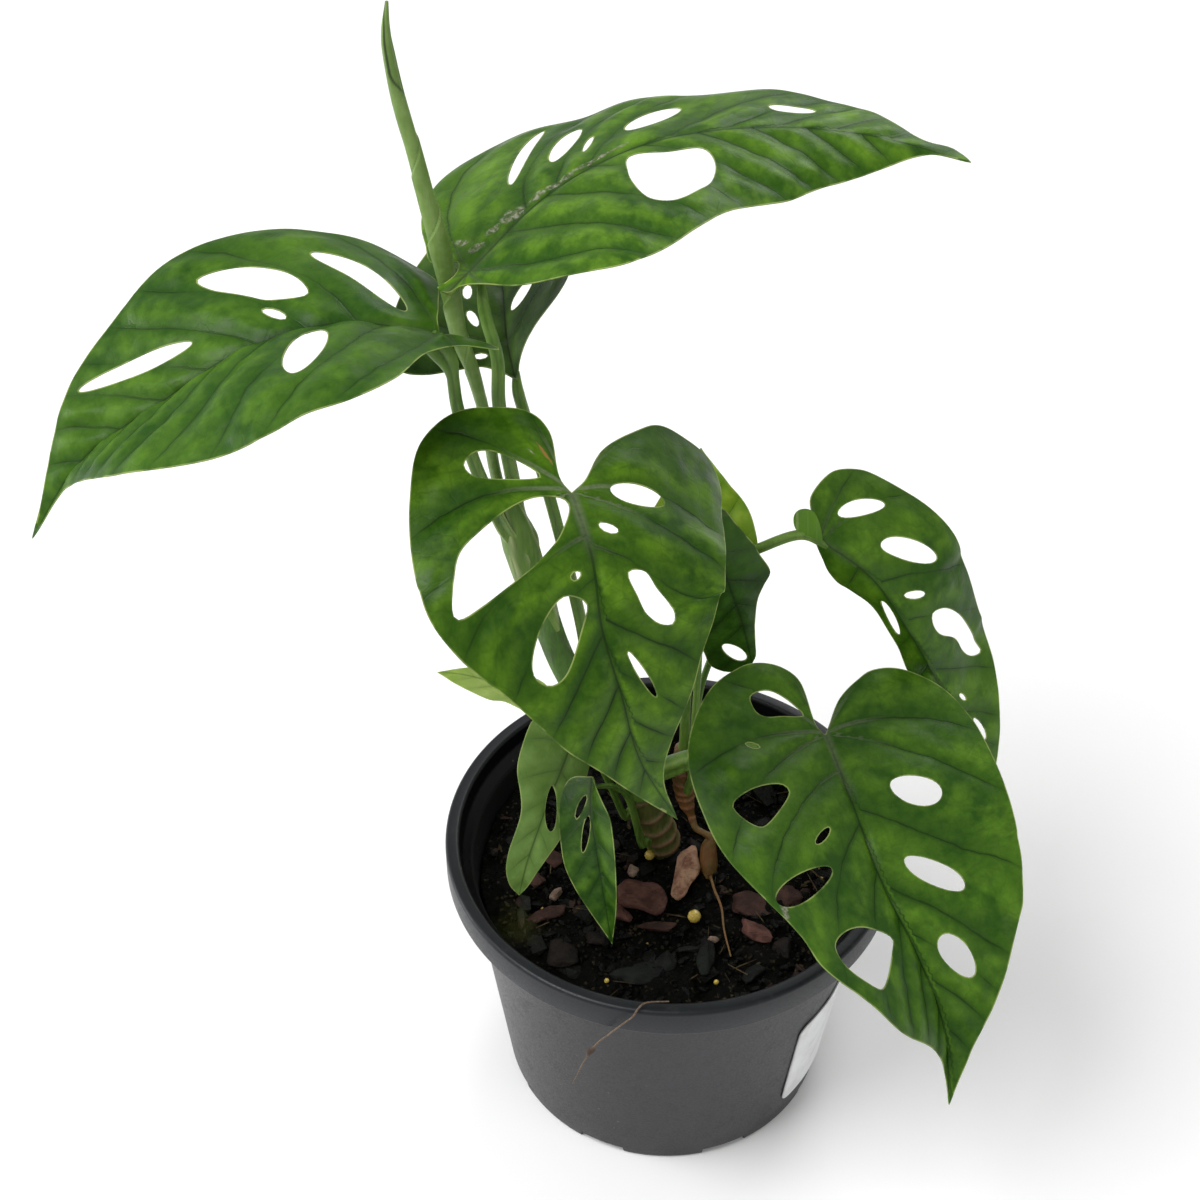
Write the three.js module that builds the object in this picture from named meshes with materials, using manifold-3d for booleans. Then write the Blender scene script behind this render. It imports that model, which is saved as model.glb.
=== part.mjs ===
import * as THREE from 'three';
import { mergeVertices } from 'three/addons/utils/BufferGeometryUtils.js';
import Module from 'manifold-3d';

const wasm = await Module();
wasm.setup();

// A potted climbing aroid with perforated leaves. Millimetres, +Z up, origin under the middle of the pot.

// Pot
const potHeight = 100;
const rimRadius = 70; // outside of the skirt round the top
const lipRadius = 65.5; // inside edge of the flat lip
const skirtDepth = 9.7;
const potWall = 1.6;
const wallTopRadius = 63.1; // outside of the wall, where the skirt ends
const footRadius = 52.1;
const footWidth = 6;
const floorLift = 3.5; // the floor's underside stands clear of the table
const padRadius = 8; // flat pad under the middle of the floor, level with the feet
const roundOver = 0.8; // of the rim's upper edges
const potSegments = 42;
const footNotches = 8;
const notchSize = [14, 15, 6]; // along the radius, across it, and twice the height
const notchTurn = 24; // degrees from the front of the pot to the first notch
const drainSize = [9, 6, 4];
const drainRadius = 38;

// Soil
const soilLevel = 82;
const soilRings = 6;
const soilSegments = 36;
const soilBump = 1.1;
const crumbCount = 24;
const crumbSeed = 7;

// Label on the pot's right side: degrees round from the front, and heights
const labelAngles = [46.5, 113];
const labelHeights = [12, 56];
const labelThickness = 0.4;
const labelSegments = 14;

// Leaves
const gap = 0.3; // clearance between pieces that touch
const bladeThickness = 0.8;
const bladeCell = 15; // largest step of the bent blade's facets
const edgeStep = 7; // between the points of an outline
const samePoint = 0.05; // outline points nearer than this are one
const ovalSides = [6, 9]; // of a short and a long oval
const longOval = 10;
const ribRadii = [1.2, 0.5];
const ribbedFrom = 60; // shorter blades have no rib that stands out
const ribDepth = 0.5; // how far below the blade's middle the rib runs

// Stems, from the soil up: points of the axis, and a radius at each
const stems = {
  main_stem: {
    axis: [[-1, 11, 72], [-3, 10, 87], [-10, 8, 110], [-19, 7, 132.5], [-26.5, 6, 150.5], [-34, 5, 169],
      [-42, 4, 202], [-44, 3.5, 212]],
    radii: [5.6, 5.4, 5, 4.6, 4.3, 4, 4.4, 5]
  },
  side_stem: {
    axis: [[12, -3, 74], [12.5, -2, 78], [12.5, 1, 84], [12.5, 3.5, 89], [13, 4.5, 92.5], [11, 5, 94],
      [8, 6, 95.5], [6.5, 8, 99], [5, 9, 103.5], [4, 10, 108.5], [3.5, 10, 117], [3.5, 10, 127]],
    radii: [1.6, 2.2, 2.7, 2.3, 1.4, 1, 1, 1.2, 2.4, 3.2, 3.3, 3]
  }
};
const surfaceRoot = [[13, -3, 81.5], [14.5, -11, 82.8], [17, -22, 82.8], [19.5, -34, 82.2]];
const surfaceRootRadii = [1, 0.8, 0.7, 0.5];

// Each leaf: midrib points; the way the blade faces at its base and tip; for each half the lift out of that
// plane at base and tip (degrees), its curl (degrees a millimetre) and its edge as [along, across] from base
// to tip. Oval holes are [along, across, length, width, turn from the midrib]; cuts are free outlines in
// [along, across], where the right half is positive. The petiole starts on a stem and runs through its
// points to the blade.
const leaves = [
  {
    name: 'leaf_top_right',
    color: '#4f8424',
    midrib: [[-55, 2, 303], [-36, 20, 315], [-12, 32, 323], [16, 38, 325], [44, 39, 323], [70, 36, 318]],
    faces: [[-0.14, 0.16, 0.98], [-0.42, -0.14, 0.9]],
    left: {
      lift: [4, -12],
      curl: -0.27,
      edge: [[0, 1], [1.5, 6], [-1, 11], [-3, 14], [0, 20], [9, 34], [24, 46], [38, 48], [50, 40], [59, 42],
        [75, 29], [92, 28], [103, 22], [113, 15], [128, 4], [136, 4], [141, 0]]
    },
    right: {
      lift: [10, -17],
      curl: -0.25,
      edge: [[0, 0], [-4, -2], [-8, -4], [-8, -1], [-5, 3], [2, 24], [8, 35], [18, 45], [26, 48], [38, 48],
        [58, 42], [75, 33], [92, 27], [101, 21], [118, 10], [131, 1], [141, 0]]
    },
    ovals: [[33.5, -28, 29, 4, -59], [41.5, -20.5, 18, 5.5, -55], [45.5, -14, 8.5, 2, -60],
      [62, -16.5, 16, 7.5, -22],
      [95.5, -12.5, 11, 6, 17]],
    cuts: [
      [[51, 4], [48, 11], [47, 17], [48, 26], [53, 30], [58, 30], [64, 27], [69, 23], [72, 14], [70, 8],
        [60, 7]]
    ],
    petiole: {
      stem: 'main_stem',
      top: [2.4, 1.2],
      via: [[-44.5, 3, 224], [-45.5, 1.5, 236], [-47, -2, 253], [-48, -4.5, 268], [-48, -4, 281],
        [-51, -2, 294]],
      radii: [2.3, 1.6]
    }
  },
  {
    name: 'leaf_top_left',
    color: '#4a7d2c',
    midrib: [[-62, -5, 289], [-86, -9, 294], [-109, -15, 290], [-130, -22, 278], [-152, -27, 262],
      [-168, -31, 239]],
    faces: [[0.01, 0.15, 0.99], [0.15, -0.16, 0.98]],
    left: {
      lift: [21, 23],
      curl: -0.69,
      edge: [[-3, 2], [-13, 15], [-3, 15], [5, 21], [14, 37], [25, 45], [38, 46], [46, 46], [59, 42],
        [85, 26],
        [112, 3], [125, 1], [131, 0]]
    },
    right: {
      lift: [14, 31],
      curl: -0.61,
      edge: [[0, 0], [2, 5], [2, 12], [3, 28], [16, 39], [27, 42], [36, 45], [55, 43], [74, 35], [91, 25],
        [106, 10], [117, 4], [131, 0]]
    },
    ovals: [[19, 18.5, 31, 7, 50], [40.5, 7, 7, 2.5, 44], [34.5, -17.5, 24, 10, -78], [78, 13, 33.5, 5, 12]],
    cuts: [[[55, 29], [45, 28], [35, 20], [32, 11], [41, 12], [45, 15], [53, 23]]],
    petiole: {
      stem: 'main_stem',
      top: [-0.6, -2.6],
      via: [[-48.5, -3, 226], [-54.5, -6, 247], [-58.5, -6, 266], [-60, -6, 280]],
      radii: [2.3, 1.5]
    }
  },
  {
    name: 'leaf_top_back',
    color: '#3f6b2c',
    midrib: [[-44, -1, 273], [-47, 12, 275], [-49, 26, 276], [-51, 42, 276], [-53, 59, 276], [-56, 79, 275]],
    faces: [[-0.54, -0.31, 0.78], [-0.04, -0.11, 0.99]],
    left: {
      lift: [22, 15],
      curl: -0.09,
      edge: [[0, 0], [3, 3], [7, 8], [8, 14], [9, 23], [12, 29], [22, 31], [37, 28], [60, 17], [70, 11],
        [81, 0]]
    },
    right: {
      lift: [28, 4],
      curl: -0.1,
      edge: [[0, 1], [5, 7], [9, 24], [12, 27], [22, 26], [43, 21], [61, 14], [75, 7], [81, 0]]
    },
    ovals: [[27.5, 7, 11, 6.5, 39], [36.5, -9.5, 6.5, 2.5, 3], [25, -8.5, 7.5, 2.5, -14],
      [10.5, -7.5, 4, 2, -75]],
    cuts: [],
    petiole: {
      stem: 'main_stem',
      at: 0.6,
      heading: 30,
      via: [[-28.5, 9, 183], [-35.5, 9, 221], [-41.5, 6, 252], [-43.5, 2, 266]],
      radii: [1.9, 1.6]
    }
  },
  {
    name: 'leaf_heart_front',
    color: '#3c6a1c',
    midrib: [[-27, -38, 266], [-21, -56, 260], [-18, -68, 248], [-13, -74, 232], [-8, -76, 211],
      [2, -71, 184]],
    faces: [[0.4, -0.73, 0.55], [0.22, -0.79, 0.58]],
    left: {
      lift: [-4, 5],
      curl: -0.64,
      edge: [[0, 0], [-3, 4], [-13, 12], [-21, 25], [-25, 34], [-25, 43], [-22, 54], [-15, 56],
        [-3, 51], [15, 42],
        [46, 32], [58, 21], [76, 10], [88, 3], [106, 0]]
    },
    right: {
      lift: [2, 6],
      curl: -0.56,
      edge: [[0, 0], [-4, 2], [-19, 1], [-25, 5], [-27, 13], [-27, 24], [-20, 34], [-5, 40], [10, 43],
        [23, 43], [31, 41],
        [45, 27], [63, 18], [76, 9], [106, 0]]
    },
    ovals: [[0.5, -18.5, 15.5, 7, -82], [11.5, -6.5, 5.5, 3, -64], [32.5, -14, 20.5, 6, -22],
      [52.5, -6.5, 14, 2.5, -15],
      [24, 5, 3, 1.8, 58]],
    cuts: [
      [[-11, 25], [-14, 22], [-14, 18], [-8, 9], [-5, 7], [-7, 23]],
      [[1, 10], [3, 2], [12, 6], [18, 12], [29, 28], [31, 35], [25, 35], [14, 32], [9, 26]],
      [[29, 6], [31, 3], [36, 5], [45, 12], [46, 16], [43, 19], [39, 18], [29, 9]]
    ],
    petiole: {
      stem: 'main_stem',
      at: 0.45,
      heading: -45,
      via: [[-18, 0, 160], [-20.5, -2, 181], [-23, -14, 222], [-25.5, -28, 252]],
      radii: [1.9, 1.5]
    }
  },
  {
    name: 'leaf_heart_right',
    color: '#44741f',
    midrib: [[44, -12, 158], [52, -33, 150], [60, -51, 139], [70, -66, 127], [78, -79, 112], [81, -91, 93]],
    faces: [[0.28, -0.27, 0.92], [0.37, -0.2, 0.91]],
    left: {
      lift: [7, 30],
      curl: -0.19,
      edge: [[0, 0], [-10, 8], [-15, 16], [-17, 21], [-16, 30], [-8, 41], [3, 46], [12, 47], [34, 46],
        [56, 42],
        [63, 38], [78, 26], [95, 9], [102, 5], [113, 0]]
    },
    right: {
      lift: [8, 38],
      curl: -0.28,
      edge: [[0, 0], [-3, 2], [-18, 2], [-23, 7], [-25, 16], [-24, 21], [-19, 31], [-4, 43], [20, 49],
        [30, 49], [51, 40],
        [58, 40], [72, 32], [81, 26], [98, 5], [113, 0]]
    },
    ovals: [[1, 25, 4, 2, -63], [30.5, 15.5, 8.5, 2, 65],
      [41.5, 29.5, 24.5, 5.5, 79],
      [23.5, -19.5, 16, 9, -63], [50, -15.5, 20.5, 7.5, -36], [73, -10.5, 14.5, 7.5, -22]],
    cuts: [
      [[-14.6, 19.8], [-15.8, 16.4], [-15.2, 13], [-12.4, 9.2], [-9.6, 6.8], [-6.7, 5.1], [-6.4, 6.5], [-7, 12.1],
        [-7.6, 17.6], [-9.2, 19.6], [-11.8, 20.2]],
      [[19, 39], [15, 31], [15, 21], [17, 20], [24, 30], [25, 34]],
      [[56, 31], [54, 25], [55, 17], [61, 8], [64, 11], [69, 19], [70, 25], [65, 30], [60, 32]]
    ],
    petiole: {
      stem: 'main_stem',
      at: 0.33,
      heading: -20,
      square: true,
      via: [[5.5, -1, 134], [17, -4, 141], [31, -8, 150]],
      radii: [4, 1.7]
    }
  },
  {
    name: 'leaf_right_back',
    color: '#456f2a',
    midrib: [[40, 19, 205], [55.5, 15.5, 194], [67.5, 12.5, 176.5], [79.5, 14, 153], [93, 16, 129],
      [100, 17, 100]],
    faces: [[0.02, -0.47, 0.88], [0.12, -0.61, 0.79]],
    left: {
      lift: [-3, -3],
      curl: -0.7,
      edge: [[0, 0], [-6.7, 5.5], [-8.8, 9], [-7.1, 19.4], [-3.7, 24.2], [4.4, 29.9], [17.2, 32], [35.8, 32],
        [58.6, 28.5], [72.9, 26.1], [80.9, 22.2], [87.3, 16.8], [93.6, 11.6], [100.2, 7.9], [125, 0]]
    },
    right: {
      lift: [-66, -62],
      curl: -1,
      edge: [[0, 0], [-1.5, 1.2], [1, 3.2], [4.6, 5.9], [8.8, 9.2], [15.5, 11.4], [22.5, 10.6], [29, 7.8],
        [38, 7], [48.2, 7], [59, 8.2], [75, 8.5], [89, 7], [112, 3], [125, 0]]
    },
    ovals: [[6.4, -16.5, 17.5, 5, -47], [23.1, -15.6, 19, 6, -40], [33, -8, 8, 2.5, -50],
      [34.8, 3.2, 14, 2.8, 4], [92, -3, 10.5, 2, -3]],
    cuts: [[[43.6, -10], [45.9, -14.2], [53.1, -18.4], [62.5, -20.4], [71.3, -20.6], [76.3, -20.2],
      [73.7, -16.7], [66.4, -13.7], [59.1, -13], [51.1, -8.6], [46.4, -8.3]]],
    petiole: {
      stem: 'side_stem',
      top: [0, 0],
      via: [[3.5, 12, 150], [4.5, 15, 168], [8.5, 17.5, 186], [16, 18, 197], [23, 17, 203], [34, 18.5, 207]],
      radii: [1.7, 1.5]
    }
  },
  {
    name: 'leaf_folded',
    color: '#2f5122',
    midrib: [[8, 5, 224], [9.9, 3.5, 216.7], [11.8, 3, 208.9], [14.8, 5, 197.1], [18, 8.5, 184.1],
      [20.7, 12.5, 170.3], [22.7, 15.5, 158.6]],
    faces: [[0.3, -0.8, 0.5], [0.2, -0.92, 0.35]],
    left: {
      lift: [-4, -4],
      curl: -0.5,
      edge: [[0, 0], [-1, 3.7], [5, 6.7], [15, 10.5], [21.6, 11.6], [32.3, 12.9], [35.4, 9.8], [38.8, 6.9],
        [47.8, 4], [58.6, 2.4], [65.5, 1.6], [68.8, 0]]
    },
    right: {
      lift: [-8, -20],
      curl: -0.3,
      edge: [[0, 0], [-1.6, 1.5], [2, 5.5], [8.7, 9.5], [18, 12.8], [29, 14.9], [44, 15.5], [54, 14],
        [62, 13.3], [69, 12.5], [72.5, 9], [72.5, 4], [68.8, 0]]
    },
    ovals: [[61.5, 4.4, 12, 5, -22]],
    cuts: [],
    petiole: {
      stem: 'side_stem',
      at: 0.85,
      heading: -60,
      via: [[6.5, 4.5, 160], [6.5, 5, 190], [6.5, 6, 212]],
      radii: [1.2, 1]
    }
  },
  {
    name: 'leaf_pale',
    color: '#86a850',
    midrib: [[16, 29, 172], [14, 28, 184], [12, 28, 196], [10, 28, 208], [7, 28, 219], [5, 29, 228]],
    faces: [[-0.15, -0.63, 0.76], [-0.44, -0.57, 0.7]],
    left: {
      lift: [22, 16],
      curl: -0.26,
      edge: [[0, 1], [14, 13], [21, 18], [28, 21], [40, 18], [54, 4], [58, 0]]
    },
    right: { lift: [22, 23], curl: -0.25, edge: [[0, 1], [10, 7], [22, 12], [32, 14], [48, 9], [58, 0]] },
    ovals: [],
    cuts: [],
    petiole: {
      stem: 'side_stem',
      at: 0.85,
      heading: 60,
      via: [[8, 21, 143], [13, 27.5, 159]],
      radii: [1.2, 1]
    }
  },
  {
    name: 'leaf_small_left',
    color: '#7fa046',
    midrib: [[-31, 20, 129], [-39, 20, 135], [-47, 19, 139], [-55, 20, 142], [-64, 21, 144], [-73, 22, 144]],
    faces: [[-0.04, 0.22, 0.97], [-0.05, 0.15, 0.99]],
    left: {
      lift: [7, 6],
      curl: -0.43,
      edge: [[0, 1], [5, 9], [13, 13], [23, 8], [28, 10], [37, 7], [46, 0]]
    },
    right: {
      lift: [4, 3],
      curl: -0.45,
      edge: [[0, 1], [1, 7], [8, 8], [12, 12], [21, 12], [33, 6], [46, 0]]
    },
    ovals: [],
    cuts: [],
    petiole: {
      stem: 'main_stem',
      at: 0.24,
      heading: 150,
      square: true,
      via: [[-22, 16, 120]],
      radii: [1.3, 1]
    }
  },
  {
    name: 'leaf_low_left',
    color: '#6d8560',
    midrib: [[-31, 6, 131], [-34, -3, 127], [-37, -10, 122], [-40, -17, 116], [-43, -23, 108],
      [-45, -27, 99]],
    faces: [[0.34, -0.93, 0.15], [0.19, -0.91, 0.36]],
    left: {
      lift: [1, 8],
      curl: -0.45,
      edge: [[0, 0], [-2, 5], [0, 9], [5, 10], [14, 8], [28, 8], [42, 3], [50, 0]]
    },
    right: {
      lift: [4, 8],
      curl: -0.44,
      edge: [[0, 0], [-3, 6], [-2, 13], [1, 17], [13, 15], [21, 9], [36, 7], [50, 0]]
    },
    ovals: [[21, -1.7, 13.5, 4, -21]],
    cuts: [],
    petiole: {
      stem: 'main_stem',
      at: 0.22,
      heading: 205,
      square: true,
      via: [[-23, 4, 126]],
      radii: [1.3, 1]
    }
  },
  {
    name: 'leaf_low_narrow',
    color: '#5f8238',
    midrib: [[-24, -6, 130], [-24, -14, 124], [-22, -22, 117], [-20, -29, 110], [-18, -35, 102],
      [-16, -41, 94]],
    faces: [[-0.5, -0.74, 0.45], [-0.44, -0.76, 0.48]],
    left: { lift: [22, 19], curl: -0.34, edge: [[0, 0], [13, 9], [19, 9], [39, 5], [51, 0]] },
    right: { lift: [19, 13], curl: -0.35, edge: [[0, 0], [1, 7], [22, 11], [32, 9], [51, 0]] },
    ovals: [[9, 3, 7, 2, 26], [17, 2.5, 11.5, 2, 18]],
    cuts: [],
    petiole: {
      stem: 'main_stem',
      at: 0.14,
      heading: 235,
      square: true,
      via: [[-13, 2, 112], [-18, -1.5, 121]],
      radii: [1.4, 1]
    }
  }
];

// The newest leaf, still rolled up: axis from the stem's top to its tip, with a radius at each point
const rolledLeaf = {
  top: [-2.2, 1.6],
  axis: [[-48.5, 5, 228], [-49.8, 4, 240], [-50.6, 2.5, 251], [-52, 1.5, 262], [-54.1, 1.5, 273],
    [-57.2, 3, 281.5], [-60, 4.5, 295.5], [-62.2, 4.6, 308], [-65.2, 5, 323.5], [-67.5, 5, 336],
      [-70, 5, 348],
    [-71.6, 5, 360], [-71.9, 5, 366], [-71.2, 5, 373]],
  radii: [1.6, 1.6, 1.6, 1.6, 1.6, 1.9, 2.2, 2.6, 2.75, 2.2, 1.9, 1.8, 1.5, 1.1, 0.4],
  overlap: 0.16, // how far the outer layer stands proud of the one below it, as a share of the radius
  turns: 0.8, // of the seam, between the stem and the tip
  rolledFrom: 0.3, // share of the length that is plain stalk
  rolledBy: 0.45 // share of the length where the seam is full
};

// A dry leaf stalk lying over the rim, with a husk where it joined the leaf
const dryStalk = [[1.5, -66.3, 101.1], [-4.8, -67, 101.1], [-7, -69, 101.2], [-8.8, -71.2, 99.7],
  [-10.5, -71.3, 97.6],
  [-14.5, -70.6, 91.5], [-19.2, -68.6, 82.5], [-22.8, -66.9, 72], [-26.8, -64.3, 56]];
const dryStalkRadii = [0.7, 0.7, 0.7, 0.7, 0.7, 0.7, 0.8, 1.3, 0.35];

// Loose pieces on the soil: where each lies, its half sizes and its turn
const barkChips = [
  { at: [5.5, -2.5, 82.8], half: [3.4, 8.5, 1.9], turn: -12 },
  { at: [-8, -11.5, 82.6], half: [5.2, 3.6, 1.7], turn: 25 },
  { at: [-15.5, -19, 82.4], half: [3.2, 5.2, 1.6], turn: 50 },
  { at: [27, -24, 82.5], half: [5.5, 2.8, 1.6], turn: -35 }
];
const beads = [
  { at: [8.5, -20.1, 83.2], radius: 2.1 },
  { at: [-6.2, 4.5, 82.6], radius: 1.6 },
  { at: [-17.4, -46, 82.4], radius: 0.9 },
  { at: [15.6, -44.8, 82.4], radius: 0.9 }
];

const vector = (p) => new THREE.Vector3(...p);
const radians = THREE.MathUtils.degToRad;
const mix = THREE.MathUtils.lerp;

function seededRandom(seed) {
  let state = seed;
  return () => {
    state = (state * 1664525 + 1013904223) % 4294967296;
    return state / 4294967296;
  };
}

// Solids for cutting and joining

function toSolid(geometry) {
  geometry.deleteAttribute('normal');
  geometry.deleteAttribute('uv');
  const merged = mergeVertices(geometry);
  const mesh = new wasm.Mesh({
    numProp: 3,
    vertProperties: merged.attributes.position.array,
    triVerts: Uint32Array.from(merged.index.array)
  });
  mesh.merge();
  return new wasm.Manifold(mesh);
}

function toGeometry(solid) {
  const mesh = solid.getMesh();
  const geometry = new THREE.BufferGeometry();
  geometry.setAttribute('position', new THREE.BufferAttribute(new Float32Array(mesh.vertProperties), 3));
  geometry.setIndex(new THREE.BufferAttribute(new Uint32Array(mesh.triVerts), 1));
  return geometry;
}

function joined(solids) {
  return solids.reduce((sum, next) => sum.add(next));
}

function smooth(points) {
  return new THREE.CatmullRomCurve3(points, false, 'catmullrom', 0.5);
}

// A closed round bar along a curve, as thick at each of its points as the radii say
function sweep(points, radii, sides = 6, stepsEach = 2, section = () => 1) {
  const curve = smooth(points);
  const steps = stepsEach * (points.length - 1);
  const frames = curve.computeFrenetFrames(steps, false);
  const bar = new THREE.CylinderGeometry(1, 1, 1, sides, steps);
  const place = bar.attributes.position;
  for (let i = 0; i < place.count; i += 1) {
    const u = place.getY(i) + 0.5;
    const step = Math.round(u * steps);
    const knot = curve.getUtoTmapping(u) * (points.length - 1);
    const below = Math.min(Math.floor(knot), points.length - 2);
    const radius = mix(radii[below], radii[below + 1], knot - below);
    const reach = radius * section(Math.atan2(place.getZ(i), place.getX(i)), u);
    const point = curve.getPointAt(u)
      .addScaledVector(frames.normals[step], place.getX(i) * reach)
      .addScaledVector(frames.binormals[step], -place.getZ(i) * reach);
    place.setXYZ(i, point.x, point.y, point.z);
  }
  return toSolid(bar);
}

// Stems

const stemCurve = (stem) => smooth(stem.axis.map(vector));

function stemSolid(stem, spare = 0) {
  const points = stem.axis.map(vector);
  points[0].z -= 2 * spare;
  return sweep(points, stem.radii.map((r) => r + spare), 8);
}

function stemRadius(stem, u) {
  const knot = stemCurve(stem).getUtoTmapping(u) * (stem.radii.length - 1);
  const below = Math.min(Math.floor(knot), stem.radii.length - 2);
  return mix(stem.radii[below], stem.radii[below + 1], knot - below);
}

// A point beside a stem, in the compass direction of heading, where a bar of this radius just clears it
function beside(stem, u, heading, radius) {
  const curve = stemCurve(stem);
  const along = curve.getTangentAt(u);
  const out = new THREE.Vector3(Math.cos(radians(heading)), Math.sin(radians(heading)), 0);
  out.addScaledVector(along, -out.dot(along)).normalize();
  const point = curve.getPointAt(u).addScaledVector(out, stemRadius(stem, u) + gap + radius);
  return { point, along, out };
}

// The first two points of a petiole: standing on the stem's top, square to its side, or lying along it
function petioleFoot(petiole) {
  const stem = stems[petiole.stem];
  const reach = 5; // how far it runs before it turns away
  const spare = 0.2; // for the flats of both bars
  if (petiole.top) {
    const curve = stemCurve(stem);
    const along = curve.getTangentAt(1);
    const across = new THREE.Vector3(petiole.top[0], petiole.top[1], 0);
    across.addScaledVector(along, -across.dot(along));
    const foot = curve.getPointAt(1).add(across).addScaledVector(along, gap);
    return [foot, foot.clone().addScaledVector(along, reach)];
  }
  if (petiole.square) {
    const { point, out } = beside(stem, petiole.at, petiole.heading, spare / 2);
    return [point, point.clone().addScaledVector(out, reach / 2)];
  }
  const { point, along } = beside(stem, petiole.at, petiole.heading, petiole.radii[0] + spare);
  return [point, point.clone().addScaledVector(along, reach)];
}

// Leaf surface

// Arc of a half blade that starts at the lift and bends by the curl: how far out and how far up it gets
function arc(lift, curl, width) {
  const start = radians(lift);
  const bend = radians(curl);
  const end = start + bend * width;
  return {
    out: (Math.sin(end) - Math.sin(start)) / bend,
    up: (Math.cos(start) - Math.cos(end)) / bend,
    angle: end
  };
}

// The bent blade's point for a place on the flat one: across the midrib, along it, and above the middle layer
function leafPoint(leaf, across, along, height) {
  const u = THREE.MathUtils.clamp(along / leaf.length, 0, 1);
  const forward = leaf.curve.getTangentAt(u);
  const middle = leaf.curve.getPointAt(u).addScaledVector(forward, along - u * leaf.length);
  const up = vector(leaf.faces[0]).lerp(vector(leaf.faces[1]), u);
  up.addScaledVector(forward, -up.dot(forward)).normalize();
  const side = across < 0 ? -1 : 1;
  const outward = new THREE.Vector3().crossVectors(forward, up).multiplyScalar(side);
  const half = across < 0 ? leaf.left : leaf.right;
  const { out, up: raised, angle } = arc(mix(half.lift[0], half.lift[1], u), half.curl, Math.abs(across));
  const tilt = Math.abs(across) < 0.01 ? 0 : angle;
  return middle
    .addScaledVector(outward, out - Math.sin(tilt) * height)
    .addScaledVector(up, raised + Math.cos(tilt) * height);
}

// Flat outlines, across as X and along as Y

function smoothLoop(points, closed, step) {
  const knots = points.map(([along, across]) => new THREE.Vector3(across, along, 0));
  const curve = new THREE.CatmullRomCurve3(knots, closed, 'centripetal');
  const count = Math.max(Math.round(curve.getLength() / step), ovalSides[0]);
  const spaced = curve.getSpacedPoints(count).map((p) => new THREE.Vector2(p.x, p.y));
  return closed ? spaced.slice(0, -1) : spaced;
}

function leafOutline(leaf) {
  const right = smoothLoop(leaf.right.edge, false, edgeStep);
  const mirrored = leaf.left.edge.map(([along, across]) => [along, -across]);
  const left = smoothLoop(mirrored, false, edgeStep).reverse();
  const points = [...right, ...left];
  const apart = points.filter((p, i) => p.distanceTo(points[(i + 1) % points.length]) > samePoint);
  return new THREE.Shape(apart);
}

function ovalShape([along, across, length, width, turn]) {
  const shape = new THREE.Shape();
  shape.absellipse(across, along, length / 2, width / 2, 0, 2 * Math.PI, false, radians(90 - turn));
  const sides = length > longOval ? ovalSides[1] : ovalSides[0];
  return new THREE.Shape(shape.getSpacedPoints(sides).slice(0, -1));
}

function prism(shape, height) {
  const geometry = new THREE.ExtrudeGeometry(shape, { depth: height, bevelEnabled: false });
  return toSolid(geometry.translate(0, 0, -height / 2));
}

// The cut blade as flat triangles. The slab has a slight crown while it is cut, which keeps its cells apart.
function flatBlade(leaf) {
  const slabHeight = 8;
  const crownRate = 0.0005;
  const margin = 2; // of slab all round the outline
  const outline = leafOutline(leaf);
  const box = new THREE.Box2().setFromPoints(outline.getPoints());
  const columns = 2 * Math.ceil((Math.max(-box.min.x, box.max.x) + margin) / bladeCell);
  const rows = Math.ceil((box.max.y - box.min.y + 2 * margin) / bladeCell);
  const middle = (box.max.y + box.min.y) / 2;
  const crown = (x, y) => crownRate * (x * x + (y - middle) ** 2);
  const slab = new THREE.BoxGeometry(columns * bladeCell, rows * bladeCell, slabHeight, columns, rows, 1);
  const place = slab.translate(0, middle, 0).attributes.position;
  for (let i = 0; i < place.count; i += 1) {
    place.setZ(i, place.getZ(i) + crown(place.getX(i), place.getY(i)));
  }
  const tall = 4 * slabHeight;
  const cuts = leaf.cuts.map((points) => new THREE.Shape(smoothLoop(points, true, edgeStep / 1.5)));
  let solid = toSolid(slab).intersect(prism(outline, tall));
  for (const hole of [...leaf.ovals.map(ovalShape), ...cuts]) {
    solid = solid.subtract(prism(hole, tall));
  }
  const mesh = solid.getMesh();
  const xyz = mesh.vertProperties;
  const onTop = (v) => xyz[3 * v + 2] - crown(xyz[3 * v], xyz[3 * v + 1]) > 0;
  const triangles = [];
  for (let i = 0; i < mesh.triVerts.length; i += 3) {
    const triangle = [...mesh.triVerts.slice(i, i + 3)];
    if (triangle.every(onTop)) triangles.push(triangle);
  }
  const spots = new Map();
  for (const v of triangles.flat()) {
    spots.set(v, [xyz[3 * v], xyz[3 * v + 1]]);
  }
  return { triangles, spots };
}

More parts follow.
